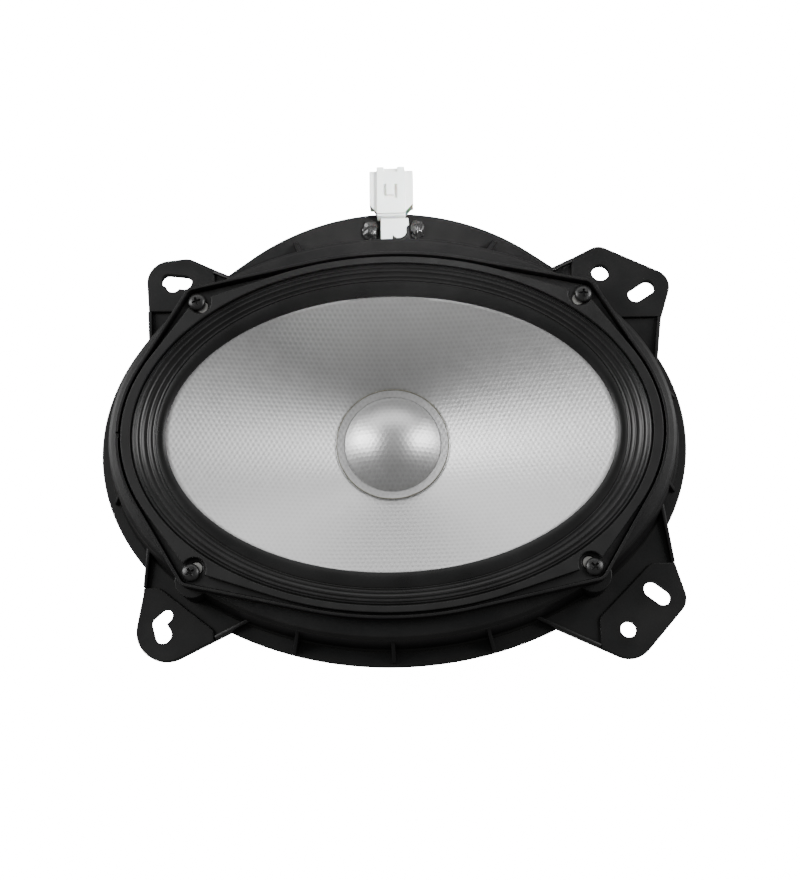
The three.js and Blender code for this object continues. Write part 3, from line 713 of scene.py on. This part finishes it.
def braid(name, color, second):
    finish = Finish(name, color, 0.35, Metallic=0.9)
    number = 2 * math.pi / (0.5 * MM)
    plait = finish.math("MULTIPLY", finish.wave((number, number, 0)), finish.wave((0, number, number)))
    # The hollows of the plait are painted darker: painted shade.
    finish.color(plait, second, color, (-1, 1))
    finish.roughness(finish.noise(1), 0.3, 0.45)
    finish.bump(plait, 0.08)
    return finish.material


def floor_finish():
    finish = Finish("pale_floor", grey(0.8), 0.9, Emission_Strength=16.0)
    finish.shader.inputs["Emission Color"].default_value = (1, 1, 1, 1)
    finish.color(finish.noise(300), grey(0.80), grey(0.82))
    return finish.material


PLASTIC = black_plastic()
GASKET = black_gasket()
FOAM = open_foam()
RUBBER = black_rubber()
SILVER = silver_weave()
ZINC = zinc()
PAINT = dull("black_paint", grey(0.005), grey(0.008), 0.34, 0.46, 12, 0.5, 0.01, Specular_IOR_Level=0.4)
SCREW_BLACK = dull("black_screw", grey(0.012), grey(0.02), 0.28, 0.38, depth=0.004, Metallic=0.3)
OLIVE = dull("olive_glue", (0.16, 0.155, 0.12), (0.1, 0.096, 0.075), 0.3, 0.45, depth=0.05)
PAPER = dull("former_paper", (0.45, 0.29, 0.13), (0.55, 0.36, 0.18), 0.7, 0.85)
STEEL = simple_metal("plated_steel", (0.50, 0.50, 0.49), (0.62, 0.61, 0.58), 0.3, 0.45, 12)
FERRITE = dull("ferrite", grey(0.022), grey(0.035), 0.6, 0.75, 4, 0.5, 0.03)
PHENOLIC = dull("phenolic_board", (0.13, 0.055, 0.02), (0.19, 0.085, 0.035), 0.45, 0.6)
TINNED = simple_metal("tinned_brass", (0.68, 0.68, 0.65), (0.75, 0.74, 0.7), 0.2, 0.35)
BRASS = simple_metal("brass", (0.72, 0.52, 0.22), (0.62, 0.43, 0.17), 0.22, 0.36)
BRAID = braid("tinsel_braid", (0.72, 0.5, 0.3), (0.3, 0.18, 0.1))
IVORY = dull(
    "ivory_nylon", (0.92, 0.91, 0.87), (0.95, 0.94, 0.90), 0.34, 0.46, 6, Subsurface_Weight=0.15
)
HOT_MELT = clear_glue()
COPPER = copper_winding()
CLOTH = cloth()
RED = dull("red_insulation", (0.33, 0.02, 0.015), (0.4, 0.03, 0.02), 0.35, 0.5)
BLACK = dull("black_insulation", grey(0.012), grey(0.02), 0.35, 0.5)

# ---- Adapter ----

# Each mounting ear: its outline, the edge between its raised pad and its sunk web, the bolt
# holes through it as chains of (x, y, radius), and the ribs along its two sides.
EARS = {
    "top_left": {
        "outline": [(-105.9, 30), (-110.5, 84.4, 10), (-91, 86.5, 8), (-55, 69.3)],
        "pad": [(-120, 61.2), (-79.2, 61.2), (-79.2, 100), (-120, 100)],
        "holes": [[(-92.8, 75.1, 3.4), (-100.2, 76.2, 3.2)], [(-97.9, 75.4, 3.3), (-97.9, 73.8, 3.3)]],
        "ribs": [((-108, 61.4), (-106.4, 41)), ((-79.4, 79.8), (-63, 72))],
    },
    "top_right": {
        "outline": [(50.4, 66.9), (92.9, 88.5, 7), (125.4, 72.6, 8), (119.3, 53.2, 4), (114.4, 21.2)],
        "pad": [(80.8, 54.2), (140, 54.2), (140, 100), (80.8, 100)],
        "holes": [[(93.5, 75.5, 3.9)], [(108.7, 64.8, 3.5), (113.8, 68.1, 3.5)]],
        "ribs": [((81, 81.4), (63.4, 72.5)), ((118.5, 54), (115, 28.2))],
    },
    "bottom_left": {
        "outline": [(-105.3, -30), (-107.2, -66, 4), (-113.9, -104.5, 13), (-51, -73.4)],
        "pad": [(-120, -63), (-100, -63, 3), (-76.6, -81.2, 3), (-75.7, -110), (-120, -110)],
        "holes": [[(-97.1, -75, 2.9), (-100.5, -78.1, 3)], [(-100.5, -78.1, 3), (-98.3, -83, 3.8)]],
        "ribs": [((-106.3, -62.8), (-104.6, -41)), ((-75.9, -84.6), (-58, -75.9))],
    },
    "bottom_right": {
        "outline": [(113.8, -20), (119.7, -56, 4), (124.6, -72.2, 8), (101.8, -98, 11), (45.9, -72.3)],
        "pad": [(140, -55.3), (109.4, -55.3, 4), (86.9, -78, 4), (86.6, -110), (140, -110)],
        "holes": [[(98.8, -83.3, 3.4)], [(109.3, -66.6, 3.4), (113.8, -70, 3.4)]],
        "ribs": [((118.8, -55.2), (114.5, -27)), ((86.8, -90.2), (55.9, -76))],
    },
}

# Each gusset: its angle round the oval, and its reach over the flange.
GUSSETS = (
    (-164, 2.5), (-109, 6.5), (-90, 6), (-71, 6.5), (-15, 2.5), (11, 2.5), (69, 8), (109, 8), (164, 2.5)
)


def drills():
    """The bolt holes of all four ears, as solids to cut away."""
    chains = [chain for spec in EARS.values() for chain in spec["holes"]]
    outlines = [hull(np.vstack([circle(x, y, radius, 64) for x, y, radius in chain])) for chain in chains]
    return [plate(outline, FLANGE_BACK - 2, PAD + 2) for outline in outlines]


def ear(spec):
    """A flat web with a raised pad round its bolt holes, and a rib along each side."""
    outline = without_oval(rounded(spec["outline"]), shrunk(WALL_FOOT, WALL / 2))
    pad = clipped(outline, rounded(spec["pad"]))
    return [
        plate(outline, FLANGE_BACK - 0.05, FLANGE_FRONT + 0.05, 0.4),
        plate(pad, FLANGE_BACK + 0.5, PAD, 0.4),
        *(ear_rib(*ends) for ends in spec["ribs"]),
    ]


def ear_rib(outer, inner):
    """The rib runs in under the deck, where the wall hides its end."""
    return sloped_wall(outer, inner, PAD + 0.7, PAD + 2.5, FLANGE_BACK + 1)


def gusset(degrees, reach):
    """A web between the deck's edge and the flange."""
    angle = math.radians(degrees)
    direction = (math.cos(angle), math.sin(angle))
    start = np.multiply(shrunk(DECK_EDGE, 0.6), direction)
    foot = np.multiply(shrunk(WALL_FOOT, -reach), direction)
    return sloped_wall(start, foot, DECK - 1, FLANGE_FRONT + 0.8, FLANGE_FRONT - 1)


def collar():
    inner = [shrunk(edge, WALL) for edge in (WALL_FOOT, DECK_EDGE)]
    section = [
        (*BORE, SEAT),
        (*shrunk(RIM_EDGE, 1), SEAT),
        (*shrunk(RIM_EDGE, 0.6), DECK + 0.7),
        (*shrunk(DECK_EDGE, 1.4), DECK),
        (*DECK_EDGE, DECK - 0.8),
        (*WALL_FOOT, FLANGE_FRONT + 1.2),
        (*shrunk(WALL_FOOT, -1.2), FLANGE_FRONT - 0.1),
        (*WALL_FOOT, FLANGE_FRONT - 1),
        (*inner[0], FLANGE_FRONT - 1),
        (*inner[1], SEAT_BACK),
        (*BORE, SEAT_BACK),
    ]
    inside_rim = fence_plate(RIM_THICKNESS, SEAT + 0.01, FACE)
    wire_slot = block((-2.6, 80, FLANGE_FRONT + 0.2), (7, 93, FACE - 17.8), 0.5)
    return carved(oval_ring(eased(section, 0.4)), inside_rim, wire_slot)


def rim_outline():
    return lobed(RIM_EDGE, RIM_CORNER, RIM_CORNER_RADIUS)


def fence_plate(inset, low, high):
    points, out = rim_outline()
    return plate(points - inset * out, low, high, 0.05)


def rim():
    """The thin upright edge round the speaker, with its snap notch at one end."""
    points, out = rim_outline()
    section = [(0, SEAT_BACK), (0, FACE), (RIM_THICKNESS, FACE), (RIM_THICKNESS, SEAT_BACK)]
    wall = fence(points, out, eased(section, 0.35))
    return carved(wall, block((-120, -1.2, FACE - 2), (-112, 1.2, FACE + 1), 0.3))


def flange_outline(inset):
    lobe = circle(0, LOBE_Y, LOBE - inset, 720)
    return hull(np.vstack([oval(shrunk(FLANGE_EDGE, inset), FLANGE_SHIFT), lobe[lobe[:, 1] > LOBE_FOOT]]))


def adapter():
    points, _ = rim_outline()
    flange = plate(flange_outline(0), FLANGE_BACK, FLANGE_FRONT, 0.5, [oval(shrunk(WALL_FOOT, WALL))])
    bosses = [
        plate(circle(sx * SCREW[0], sy * BOSS_Y, BOSS_RADIUS, 64), FLANGE_FRONT - 1, SEAT_BACK + 1)
        for sx, sy in CORNERS.values()
    ]
    drilled = [carved(shell, *drills()) for spec in EARS.values() for shell in ear(spec)]
    seat = plate(points, SEAT_BACK + 0.05, SEAT + 0.05, 0.2, [oval(BORE)])
    ribs = [gusset(*spec) for spec in GUSSETS]
    parts = [collar(), rim(), carved(flange, *drills()), seat, *bosses, *ribs, *drilled]
    bands = [f"adapter_{band}" for band in ("rim", "deck", "wall", "flange")]
    bands += [f"adapter_ear_{corner}" for corner in CORNERS]
    show("adapter_body", merged(*parts), PLASTIC, "black_plastic", "frame", bands)


def foam_gasket():
    """The die-cut foam behind the flange, a little ragged at its edges."""
    low, high = corner_of("rear_foam_gasket", 0)[2], corner_of("rear_foam_gasket", 1)[2]
    outline = dense(flange_outline(0.6), 1)
    vertices, faces = plate(outline, low, high, 0.5, [oval(FOAM_OPENING, 1, 720)])
    for vertex in vertices:
        ragged = field.noise(Vector(vertex) * 0.9) * 0.3 + field.noise(Vector(vertex) * 0.2) * 0.3
        vertex[:2] *= 1 + (ragged - 0.4) / 110
    show("foam_gasket", (vertices, faces), FOAM, "black_foam", "frame", ("rear_foam_gasket",))


# ---- Basket and face gasket ----


def window_cutter(index, windows=6):
    """A wedge with rounded edges that opens one window in the bowl."""
    turns = [math.radians(index * 360 / windows + offset) for offset in np.linspace(-23, 23, 9)]
    inner = [(30 * math.cos(turn), 30 * math.sin(turn)) for turn in turns]
    outer = [(140 * math.cos(turn), 140 * math.sin(turn)) for turn in turns[::-1]]
    return plate(np.array(inner + outer), SPIDER_LEDGE + 2, FACE - 17, 1.5)


def basket():
    sheet = 1.2
    base = corner_of("basket", 0)[2]
    front, back = FACE - 3.7, FACE - 4.9
    bowl = oval_ring(eased([
        (109.3, 73.1, back + 0.2),
        (101.5, 66.5, FACE - 15.5),
        (47.6, 47.6, SPIDER_LEDGE),
        (46.6, 46.6, SPIDER_LEDGE - sheet),
        (39.2, 39.2, SPIDER_LEDGE - sheet),
        (37.6, 37.6, base),
        (24, 24, base),
        (24, 24, base + sheet),
        (36.4, 36.4, base + sheet),
        (38, 38, SPIDER_LEDGE),
        (45.4, 45.4, SPIDER_LEDGE),
        (100.2, 65.2, FACE - 14.6),
        (107.6, 71.4, front - 0.4),
    ], 0.8), 240)
    bowl = carved(bowl, *(window_cutter(index) for index in range(6)))
    points, out = rim_outline()
    outline = points - (RIM_THICKNESS + 0.4) * out
    slots = [screw_slot(sx, sy, SLOT) for sx, sy in CORNERS.values()]
    flange = plate(outline, back, front, 0.25, [oval((107.8, 71.6)), *slots])
    shelf = block((-6, 44, SPIDER_LEDGE - sheet), (6, 48.4, SPIDER_LEDGE), 0.3)
    face = block((-6, 47.2, 31), (6, 48.4, SPIDER_LEDGE), 0.3)
    show("pressed_basket", merged(bowl, flange, shelf, face), PAINT, "black_steel", "frame", ("basket",))


def screw_slot(sx, sy, radius):
    """A slot that runs from a screw towards the basket's middle."""
    ends = [SCREW, np.subtract(SCREW, SLOT_RUN)]
    return hull(np.vstack([circle(sx * x, sy * y, radius) for x, y in ends]))


def screw_clip(corner):
    """The plated clip that fills a corner slot."""
    sx, sy = CORNERS[corner]
    node = f"screw_clip_{corner}"
    low, high = corner_of(node, 0)[2], corner_of(node, 1)[2]
    base = plate(circle(sx * CLIP[0], sy * CLIP[1], CLIP_RADIUS, 96), low, low + 0.8, 0.2)
    filling = plate(screw_slot(sx, sy, SLOT - 0.2), low + 0.1, high, 0.2)
    hole = plate(circle(sx * SCREW[0], sy * SCREW[1], 2.2), low - 1, high + 1)
    clip = merged(carved(base, hole), carved(filling, hole))
    show(f"plated_clip_{corner}", clip, ZINC, "zinc_steel", "frame", (node,))


def face_gasket():
    outline, _ = lobed(GASKET_EDGE, GASKET_CORNER, GASKET_CORNER_RADIUS)
    for sx, sy in CORNERS.values():
        outline = notched(outline, (sx * NOTCH[0], sy * NOTCH[1]), NOTCH_RADIUS)
    low = corner_of("front_gasket", 0)[2]
    ring = plate(outline, low, FACE, 0.4, [oval(shrunk(ROLL_EDGE, -0.4))])
    show("face_gasket", ring, GASKET, "black_foam", "frame", ("front_gasket",))


def frame_screw(corner):
    """A pan-head screw with a cross recess."""
    sx, sy = CORNERS[corner]
    node = f"frame_screw_{corner}"
    tip, top = corner_of(node, 0)[2], corner_of(node, 1)[2]
    head = SCREW_HEAD
    under = top - 2.5
    turns = np.linspace(0.12, math.pi / 2, 12)
    dome = [(head * math.cos(turn), under + 1.1 + 1.4 * math.sin(turn)) for turn in turns]
    point = [(0, tip), (1.2, tip + 1.2), (1.9, tip + 3)]
    rest = [(1.9, under), (head - 0.25, under), (head, under + 0.3), (head, under + 1.1)]
    shank = turned([*point, *rest, *dome], 64)
    arms = [block((-1.9, -0.45, top - 1.6), (1.9, 0.45, top + 1), 0.12)]
    arms.append(block((-0.45, -1.9, top - 1.6), (0.45, 1.9, top + 1), 0.12))
    vertices, faces = carved(shank, *arms)
    turn = np.array(Matrix.Rotation(math.radians(SCREW_TURNS[corner]), 3, "Z"))
    vertices = vertices @ turn.T + (sx * SCREW[0], sy * SCREW[1], 0)
    show(f"pan_screw_{corner}", (vertices, faces), SCREW_BLACK, "black_screw", "frame", (node,))


# ---- Moving parts and their suspension ----


def blend_across(made, weight):
    """Bakes a ring's placement into its mesh and works out a weight at each point, from the frame at its
    rim to the cone at its middle; nothing uses the weights.
    """
    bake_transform(made)
    weights = np.array([weight(vertex.co / MM) for vertex in made.data.vertices], np.float32)


def smooth_share(share):
    share = min(max(share, 0.0), 1.0)
    return share * share * (3 - 2 * share)


def between(outer, inner, share, height):
    return (*(a + (b - a) * share for a, b in zip(outer, inner)), height)


def oval_radius(spot, edge):
    return math.hypot(spot[0] / edge[0], spot[1] / edge[1])


def roll_height(share):
    """The roll's height across its width: narrow ridges of (middle, width, height) on a swell."""
    ridges = (
        (0.06, 0.035, 0.35), (0.20, 0.05, 0.45), (0.43, 0.05, 0.5), (0.71, 0.05, 0.4), (0.93, 0.04, 0.3)
    )
    bump = sum(height * math.exp(-(((share - middle) / width) ** 2)) for middle, width, height in ridges)
    return LIP + 1.6 * (1 - smooth_share((share - 0.2) / 0.8)) + bump


def surround():
    front = [(*LIP_EDGE, LIP)]
    for share in np.linspace(0, 0.96, 90):
        front.append(between(ROLL_EDGE, BAND_EDGE, share, roll_height(share)))
    front.append(between(ROLL_EDGE, BAND_EDGE, 0.985, FACE - 2.9))
    for share in np.linspace(0, 1, 12):
        crown = 0.45 * math.sin(math.pi * share)
        front.append(between(BAND_EDGE, CONE_EDGE, share, FACE - 2.7 - 0.7 * share + crown))
    made = show("rubber_surround", skin(front, 0.6), RUBBER, "black_rubber", None, ("surround",))

    def weight(spot):
        outer, inner = oval_radius(spot, ROLL_EDGE), oval_radius(spot, BAND_EDGE)
        return smooth_share((1 - outer) / (1 - outer + max(inner - 1, 0)) if outer < 1 else 0)

    blend_across(made, weight)


def cone():
    """The dish runs straight from its oval edge to the round dust cap, and on to the neck."""
    hidden = shrunk(CONE_EDGE, -2.6)
    front = [(*hidden, CONE_FRONT)]
    edge = shrunk(CONE_EDGE, 0.4)
    for share in np.linspace(0, 1, 64):
        front.append(between(edge, THROAT, share, CONE_FRONT + (CONE_THROAT - CONE_FRONT) * share))
    neck = (FORMER_OUTSIDE + 0.4, FORMER_OUTSIDE + 0.4)
    for share in (0.3, 0.6, 1):
        front.append(between(THROAT, neck, share, CONE_THROAT + (CONE_NECK - CONE_THROAT) * share))
    show("woven_cone", skin(front, 0.8, 384), SILVER, "silver_weave", "cone_assembly", ("cone",))


def dust_cap():
    """A dome on a flat brim, with a crease between them."""
    ball = (DOME_EDGE**2 + DOME_HEIGHT**2) / (2 * DOME_HEIGHT)
    reach = math.asin(DOME_EDGE / ball)
    foot = DUST_CAP_Z - BRIM_DROP
    centre = foot + DOME_HEIGHT - ball

    def arc(radius):
        return [(radius * math.sin(t), centre + radius * math.cos(t)) for t in np.linspace(0, reach, 40)]

    def beyond(out, rise):
        return (DOME_EDGE + out, foot + rise)

    crease = [beyond(0.05, -0.3), beyond(0.3, -0.3), beyond(0.45, 0.03)]
    outside = [*arc(ball), *crease, (DUST_CAP_EDGE, DUST_CAP_Z)]
    under = [(DUST_CAP_EDGE, DUST_CAP_Z - 0.4), beyond(0.6, -0.6), beyond(-0.2, -0.6)]
    inside = [*under, *arc(ball - 0.5)[::-1][1:]]
    shell = turned([*outside, *inside], 192)
    show("dust_dome", shell, SILVER, "silver_weave", "cone_assembly", ("dust_cap",))


def glue_bead():
    """A thin bead of adhesive that wanders a little round the dust cap."""
    steps = 360
    rings = []
    bottom = corner_of("dust_cap_glue", 0)[2]
    for angle in np.linspace(0, 2 * np.pi, 12, endpoint=False):
        ring = circle(0, 0, 1, steps)
        wander = np.array([field.noise(Vector((3 * x, 3 * y, 0))) for x, y in ring])
        width = np.array([field.noise(Vector((9 * x, 9 * y, 5))) for x, y in ring])
        radius = DUST_CAP_EDGE + 0.2 + 0.08 * wander + (0.22 + 0.08 * width) * math.cos(angle)
        height = bottom + 0.2 + 0.18 * math.sin(angle)
        rings.append(level(ring * radius[:, None], height))
    show("glue_bead", loft(rings), OLIVE, "olive_glue", "cone_assembly", ("dust_cap_glue",))


def voice_coil():
    for node, inside, finish, slot in (
        ("voice_coil_former", FORMER_INSIDE, PAPER, "former_paper"),
        ("voice_coil_winding", FORMER_OUTSIDE + 0.1, COPPER, "coil_copper"),
    ):
        low, high = corner_of(node, 0), corner_of(node, 1)
        outside = high[0]
        section = eased([(inside, low[2]), (outside, low[2]), (outside, high[2]), (inside, high[2])], 0.1)
        show(f"{node}_round", turned(section), finish, slot, "cone_assembly", (node,))


def spider():
    """A corrugated cloth disc from the basket's ledge to the former."""
    inside, outside, lip = FORMER_OUTSIDE + 0.4, 37, 44.5
    waves = 5
    front = []
    for share in np.linspace(0, 1, 121):
        radius = inside + (outside - inside) * share
        front.append((radius, SPIDER_LEDGE + 1.75 - 0.85 * math.cos(2 * math.pi * waves * share)))
    front += [(outside + 2, SPIDER_LEDGE + 0.9), (lip, SPIDER_LEDGE + 0.9)]
    back = [(radius, height - 0.5) for radius, height in front[::-1]]
    made = show("corrugated_spider", turned([*front, *back]), CLOTH, "spider_cloth", None, ("spider",))
    blend_across(made, lambda spot: smooth_share((outside - math.hypot(*spot[:2])) / (outside - inside)))


# ---- Motor ----


def motor():
    plate_radius, plate_top = 42, 6
    pole, waist, pole_top = 18, 16.5, 29
    yoke = [
        (0, 0),
        (plate_radius - 0.7, 0),
        (plate_radius, 0.7),
        (plate_radius, plate_top - 0.4),
        (plate_radius - 0.4, plate_top),
        (waist, plate_top),
        (waist, pole_top - 7),
        (pole, pole_top - 6),
        (pole, pole_top - 0.4),
        (pole - 0.4, pole_top),
        (0, pole_top),
    ]
    show("steel_yoke", turned(yoke), STEEL, "plated_steel", "frame", ("yoke",), 40)
    for node, inside, name, finish, slot, edge in (
        ("ferrite_magnet", 24, "ferrite_ring", FERRITE, "ferrite", 1.0),
        ("top_plate", 20.5, "steel_top_plate", STEEL, "plated_steel", 0.5),
    ):
        low, high = corner_of(node, 0), corner_of(node, 1)
        section = [(inside, low[2]), (high[0], low[2]), (high[0], high[2]), (inside, high[2])]
        show(name, turned(eased(section, edge)), finish, slot, "frame", (node,))


# ---- Terminals, wiring and connector ----

TAB_X = 8.5
TAB_TOP = 44
PIN_X = 0.8
PIN_PITCH = 5
RIDGE = (-5.6, 6.9)
WING_FOOT = 104.6
SMEAR = [
    (1.2, 91.4), (1.4, 94.2), (2.1, 93.4), (3.2, 92.7), (4.6, 92.8), (5.8, 93.2), (6.8, 93.9),
    (7.5, 95.2), (7.4, 96.8), (7.9, 98.5), (8.6, 98.6), (8.8, 91.4),
]


def tinsel_lead(name, side):
    route = [
        (side * TAB_X, 49.5, 43.4),
        (side * TAB_X, 49, 47.5),
        (side * 9, 44, 51),
        (side * 9.5, 35, 50),
        (side * 9.5, 27, 49.4),
        (side * 9.5, 24, 51),
    ]
    made = show(f"{name}_braid", swept(route, 0.6), BRAID, "brass", None, (name,))
    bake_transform(made)


def lead_wire(name, side, finish, slot):
    pin_x = PIN_X + side * PIN_PITCH / 2
    route = [
        (pin_x, 101.4, PIN_Z),
        (pin_x, 92, PIN_Z),
        (pin_x, 84, PIN_Z - 0.4),
        (side * 5.5, 70, FACE - 22),
        (side * TAB_X, 59, FACE - 27),
        (side * TAB_X, 52.4, FACE - 32.5),
        (side * TAB_X, 51, TAB_TOP + 0.4),
    ]
    show(f"{name}_round", swept(route, 0.8), finish, slot, "frame", (name,))


def glue_blob(node, seed):
    """A puddle of hot-melt with a drawn, uneven surface."""
    low, high = np.array(corner_of(node, 0)), np.array(corner_of(node, 1))
    bm = bmesh.new()
    bmesh.ops.create_icosphere(bm, subdivisions=5, radius=1)
    centre = np.array([*(low + high)[:2] / 2, low[2]])
    size = np.array([*(high - low)[:2] / 2, high[2] - low[2]])
    for vertex in bm.verts:
        swell = 0.95 + 0.3 * field.noise(vertex.co * 1.4 + Vector((seed, 0, 0)))
        swell += 0.06 * field.noise(vertex.co * 3 + Vector((0, seed, 0)))
        spot = centre + np.array(vertex.co) * size * swell
        vertex.co = Vector((spot[0], spot[1], max(spot[2], low[2])))
    return shell_from(bm)


def wiring():
    fine_copy("terminal_strip", 0.15, PHENOLIC, "phenolic", 2)
    fine_copy("terminal_rivet", 0.12, BRASS, "brass", 2)
    for side, pole, finish, slot in (
        (-1, "positive", RED, "red_insulation"),
        (1, "negative", BLACK, "black_insulation"),
    ):
        tinsel_lead(f"tinsel_lead_{pole}", side)
        lead_wire(f"lead_wire_{pole}", side, finish, slot)
        fine_copy(f"terminal_{pole}", 0.12, TINNED, "tinned_brass", 2)


def housing():
    """The connector's housing, whose two wings taper at their foot."""
    vertices, faces = fine_shell("connector_housing", 0.6, 4)
    outside = np.maximum(RIDGE[0] - vertices[:, 0], vertices[:, 0] - RIDGE[1])
    tapered = np.maximum(vertices[:, 1], WING_FOOT + 1.1 * outside)
    vertices[:, 1] = np.where(outside > 0.1, tapered, vertices[:, 1])
    finish = (IVORY, "ivory_nylon", "frame", ("connector_housing",))
    show("connector_housing_fine", (vertices, faces), *finish)


def glue_smear():
    """A thin film of glue over the corner of the bracket."""
    return plate(np.array(SMEAR), BRACKET_FRONT - 0.05, BRACKET_FRONT + 0.3, 0.12)


def connector():
    housing()
    fine_copy("connector_bracket", 0.3, IVORY, "ivory_nylon")
    for pole in ("positive", "negative"):
        fine_copy(f"connector_pin_{pole}", 0.1, BRASS, "brass", 2)
    for seed, node, extra in ((0, "hot_glue_left", []), (1, "hot_glue_right", [glue_smear()])):
        blob = merged(glue_blob(node, seed), *extra)
        show(f"{node}_blob", blob, HOT_MELT, "hot_melt", "frame", (node,), 60)

# ---- Camera, floor and light ----

AZIMUTH = math.radians(8.75)
ELEVATION = math.radians(75.70)
ROLL = math.radians(-9.55)
DISTANCE = 0.650
LENS = 62.9
SHIFT = (0.01125, -0.0122)
WORLD_LIGHT = 0.23
LAMP_PLACE = (0.55, -0.1, 0.9)
CONNECTOR_PLACE = (0.001, 0.115, 0.062)


def camera():
    aim = Vector((0, 0, FACE * MM))
    away = Vector((
        math.sin(AZIMUTH) * math.cos(ELEVATION),
        -math.cos(AZIMUTH) * math.cos(ELEVATION),
        math.sin(ELEVATION),
    ))
    data = bpy.data.cameras.new("photo_camera")
    data.sensor_width = 36
    data.lens = LENS
    data.shift_x, data.shift_y = SHIFT
    made = bpy.data.objects.new("photo_camera", data)
    turn = away.to_track_quat("Z", "Y").to_matrix() @ Matrix.Rotation(ROLL, 3, "Z")
    made.matrix_world = Matrix.Translation(aim + away * DISTANCE) @ turn.to_4x4()
    bpy.context.scene.collection.objects.link(made)
    bpy.context.scene.camera = made


def floor():
    bpy.ops.mesh.primitive_plane_add(size=6, location=(0, 0, 0))
    made = bpy.context.object
    made.name = "floor"
    made.data.materials.append(floor_finish())
    made.visible_diffuse = False
    made.visible_glossy = False


def softbox(name, place, width, height, power):
    """A soft rectangular light aimed at the speaker's face."""
    data = bpy.data.lights.new(name, "AREA")
    data.shape = "RECTANGLE"
    data.size = width
    data.size_y = height
    data.energy = power
    aim_lamp(data, place, (0, 0, FACE * MM))


def aim_lamp(data, place, target):
    made = bpy.data.objects.new(data.name, data)
    made.location = place
    away = Vector(place) - Vector(target)
    made.rotation_euler = away.to_track_quat("Z", "Y").to_euler()
    bpy.context.scene.collection.objects.link(made)


def connector_lamp(power):
    """A narrow soft beam on the connector, from the side, where it throws no glint at the camera."""
    data = bpy.data.lights.new("connector_lamp", "SPOT")
    data.energy = power
    data.spot_size = math.radians(5)
    data.spot_blend = 0.6
    data.shadow_soft_size = 0.05
    aim_lamp(data, LAMP_PLACE, CONNECTOR_PLACE)


def lights():
    softbox("left_softbox", (-1.2, 0.42, 0.74), 0.6, 1.4, 30)
    softbox("right_softbox", (1.2, 0.42, 0.74), 0.6, 1.4, 25.5)
    softbox("top_softbox", (-0.1, 1.25, 0.85), 2.0, 0.8, 10)
    connector_lamp(210)
    world = bpy.data.worlds.new("studio")
    world.use_nodes = True
    background = world.node_tree.nodes["Background"]
    background.inputs["Color"].default_value = (1, 1, 1, 1)
    background.inputs["Strength"].default_value = WORLD_LIGHT
    bpy.context.scene.world = world


camera()
floor()
lights()
adapter()
foam_gasket()
basket()
face_gasket()
for corner in CORNERS:
    frame_screw(corner)
    screw_clip(corner)
surround()
cone()
dust_cap()
glue_bead()
voice_coil()
spider()
motor()
wiring()
connector()
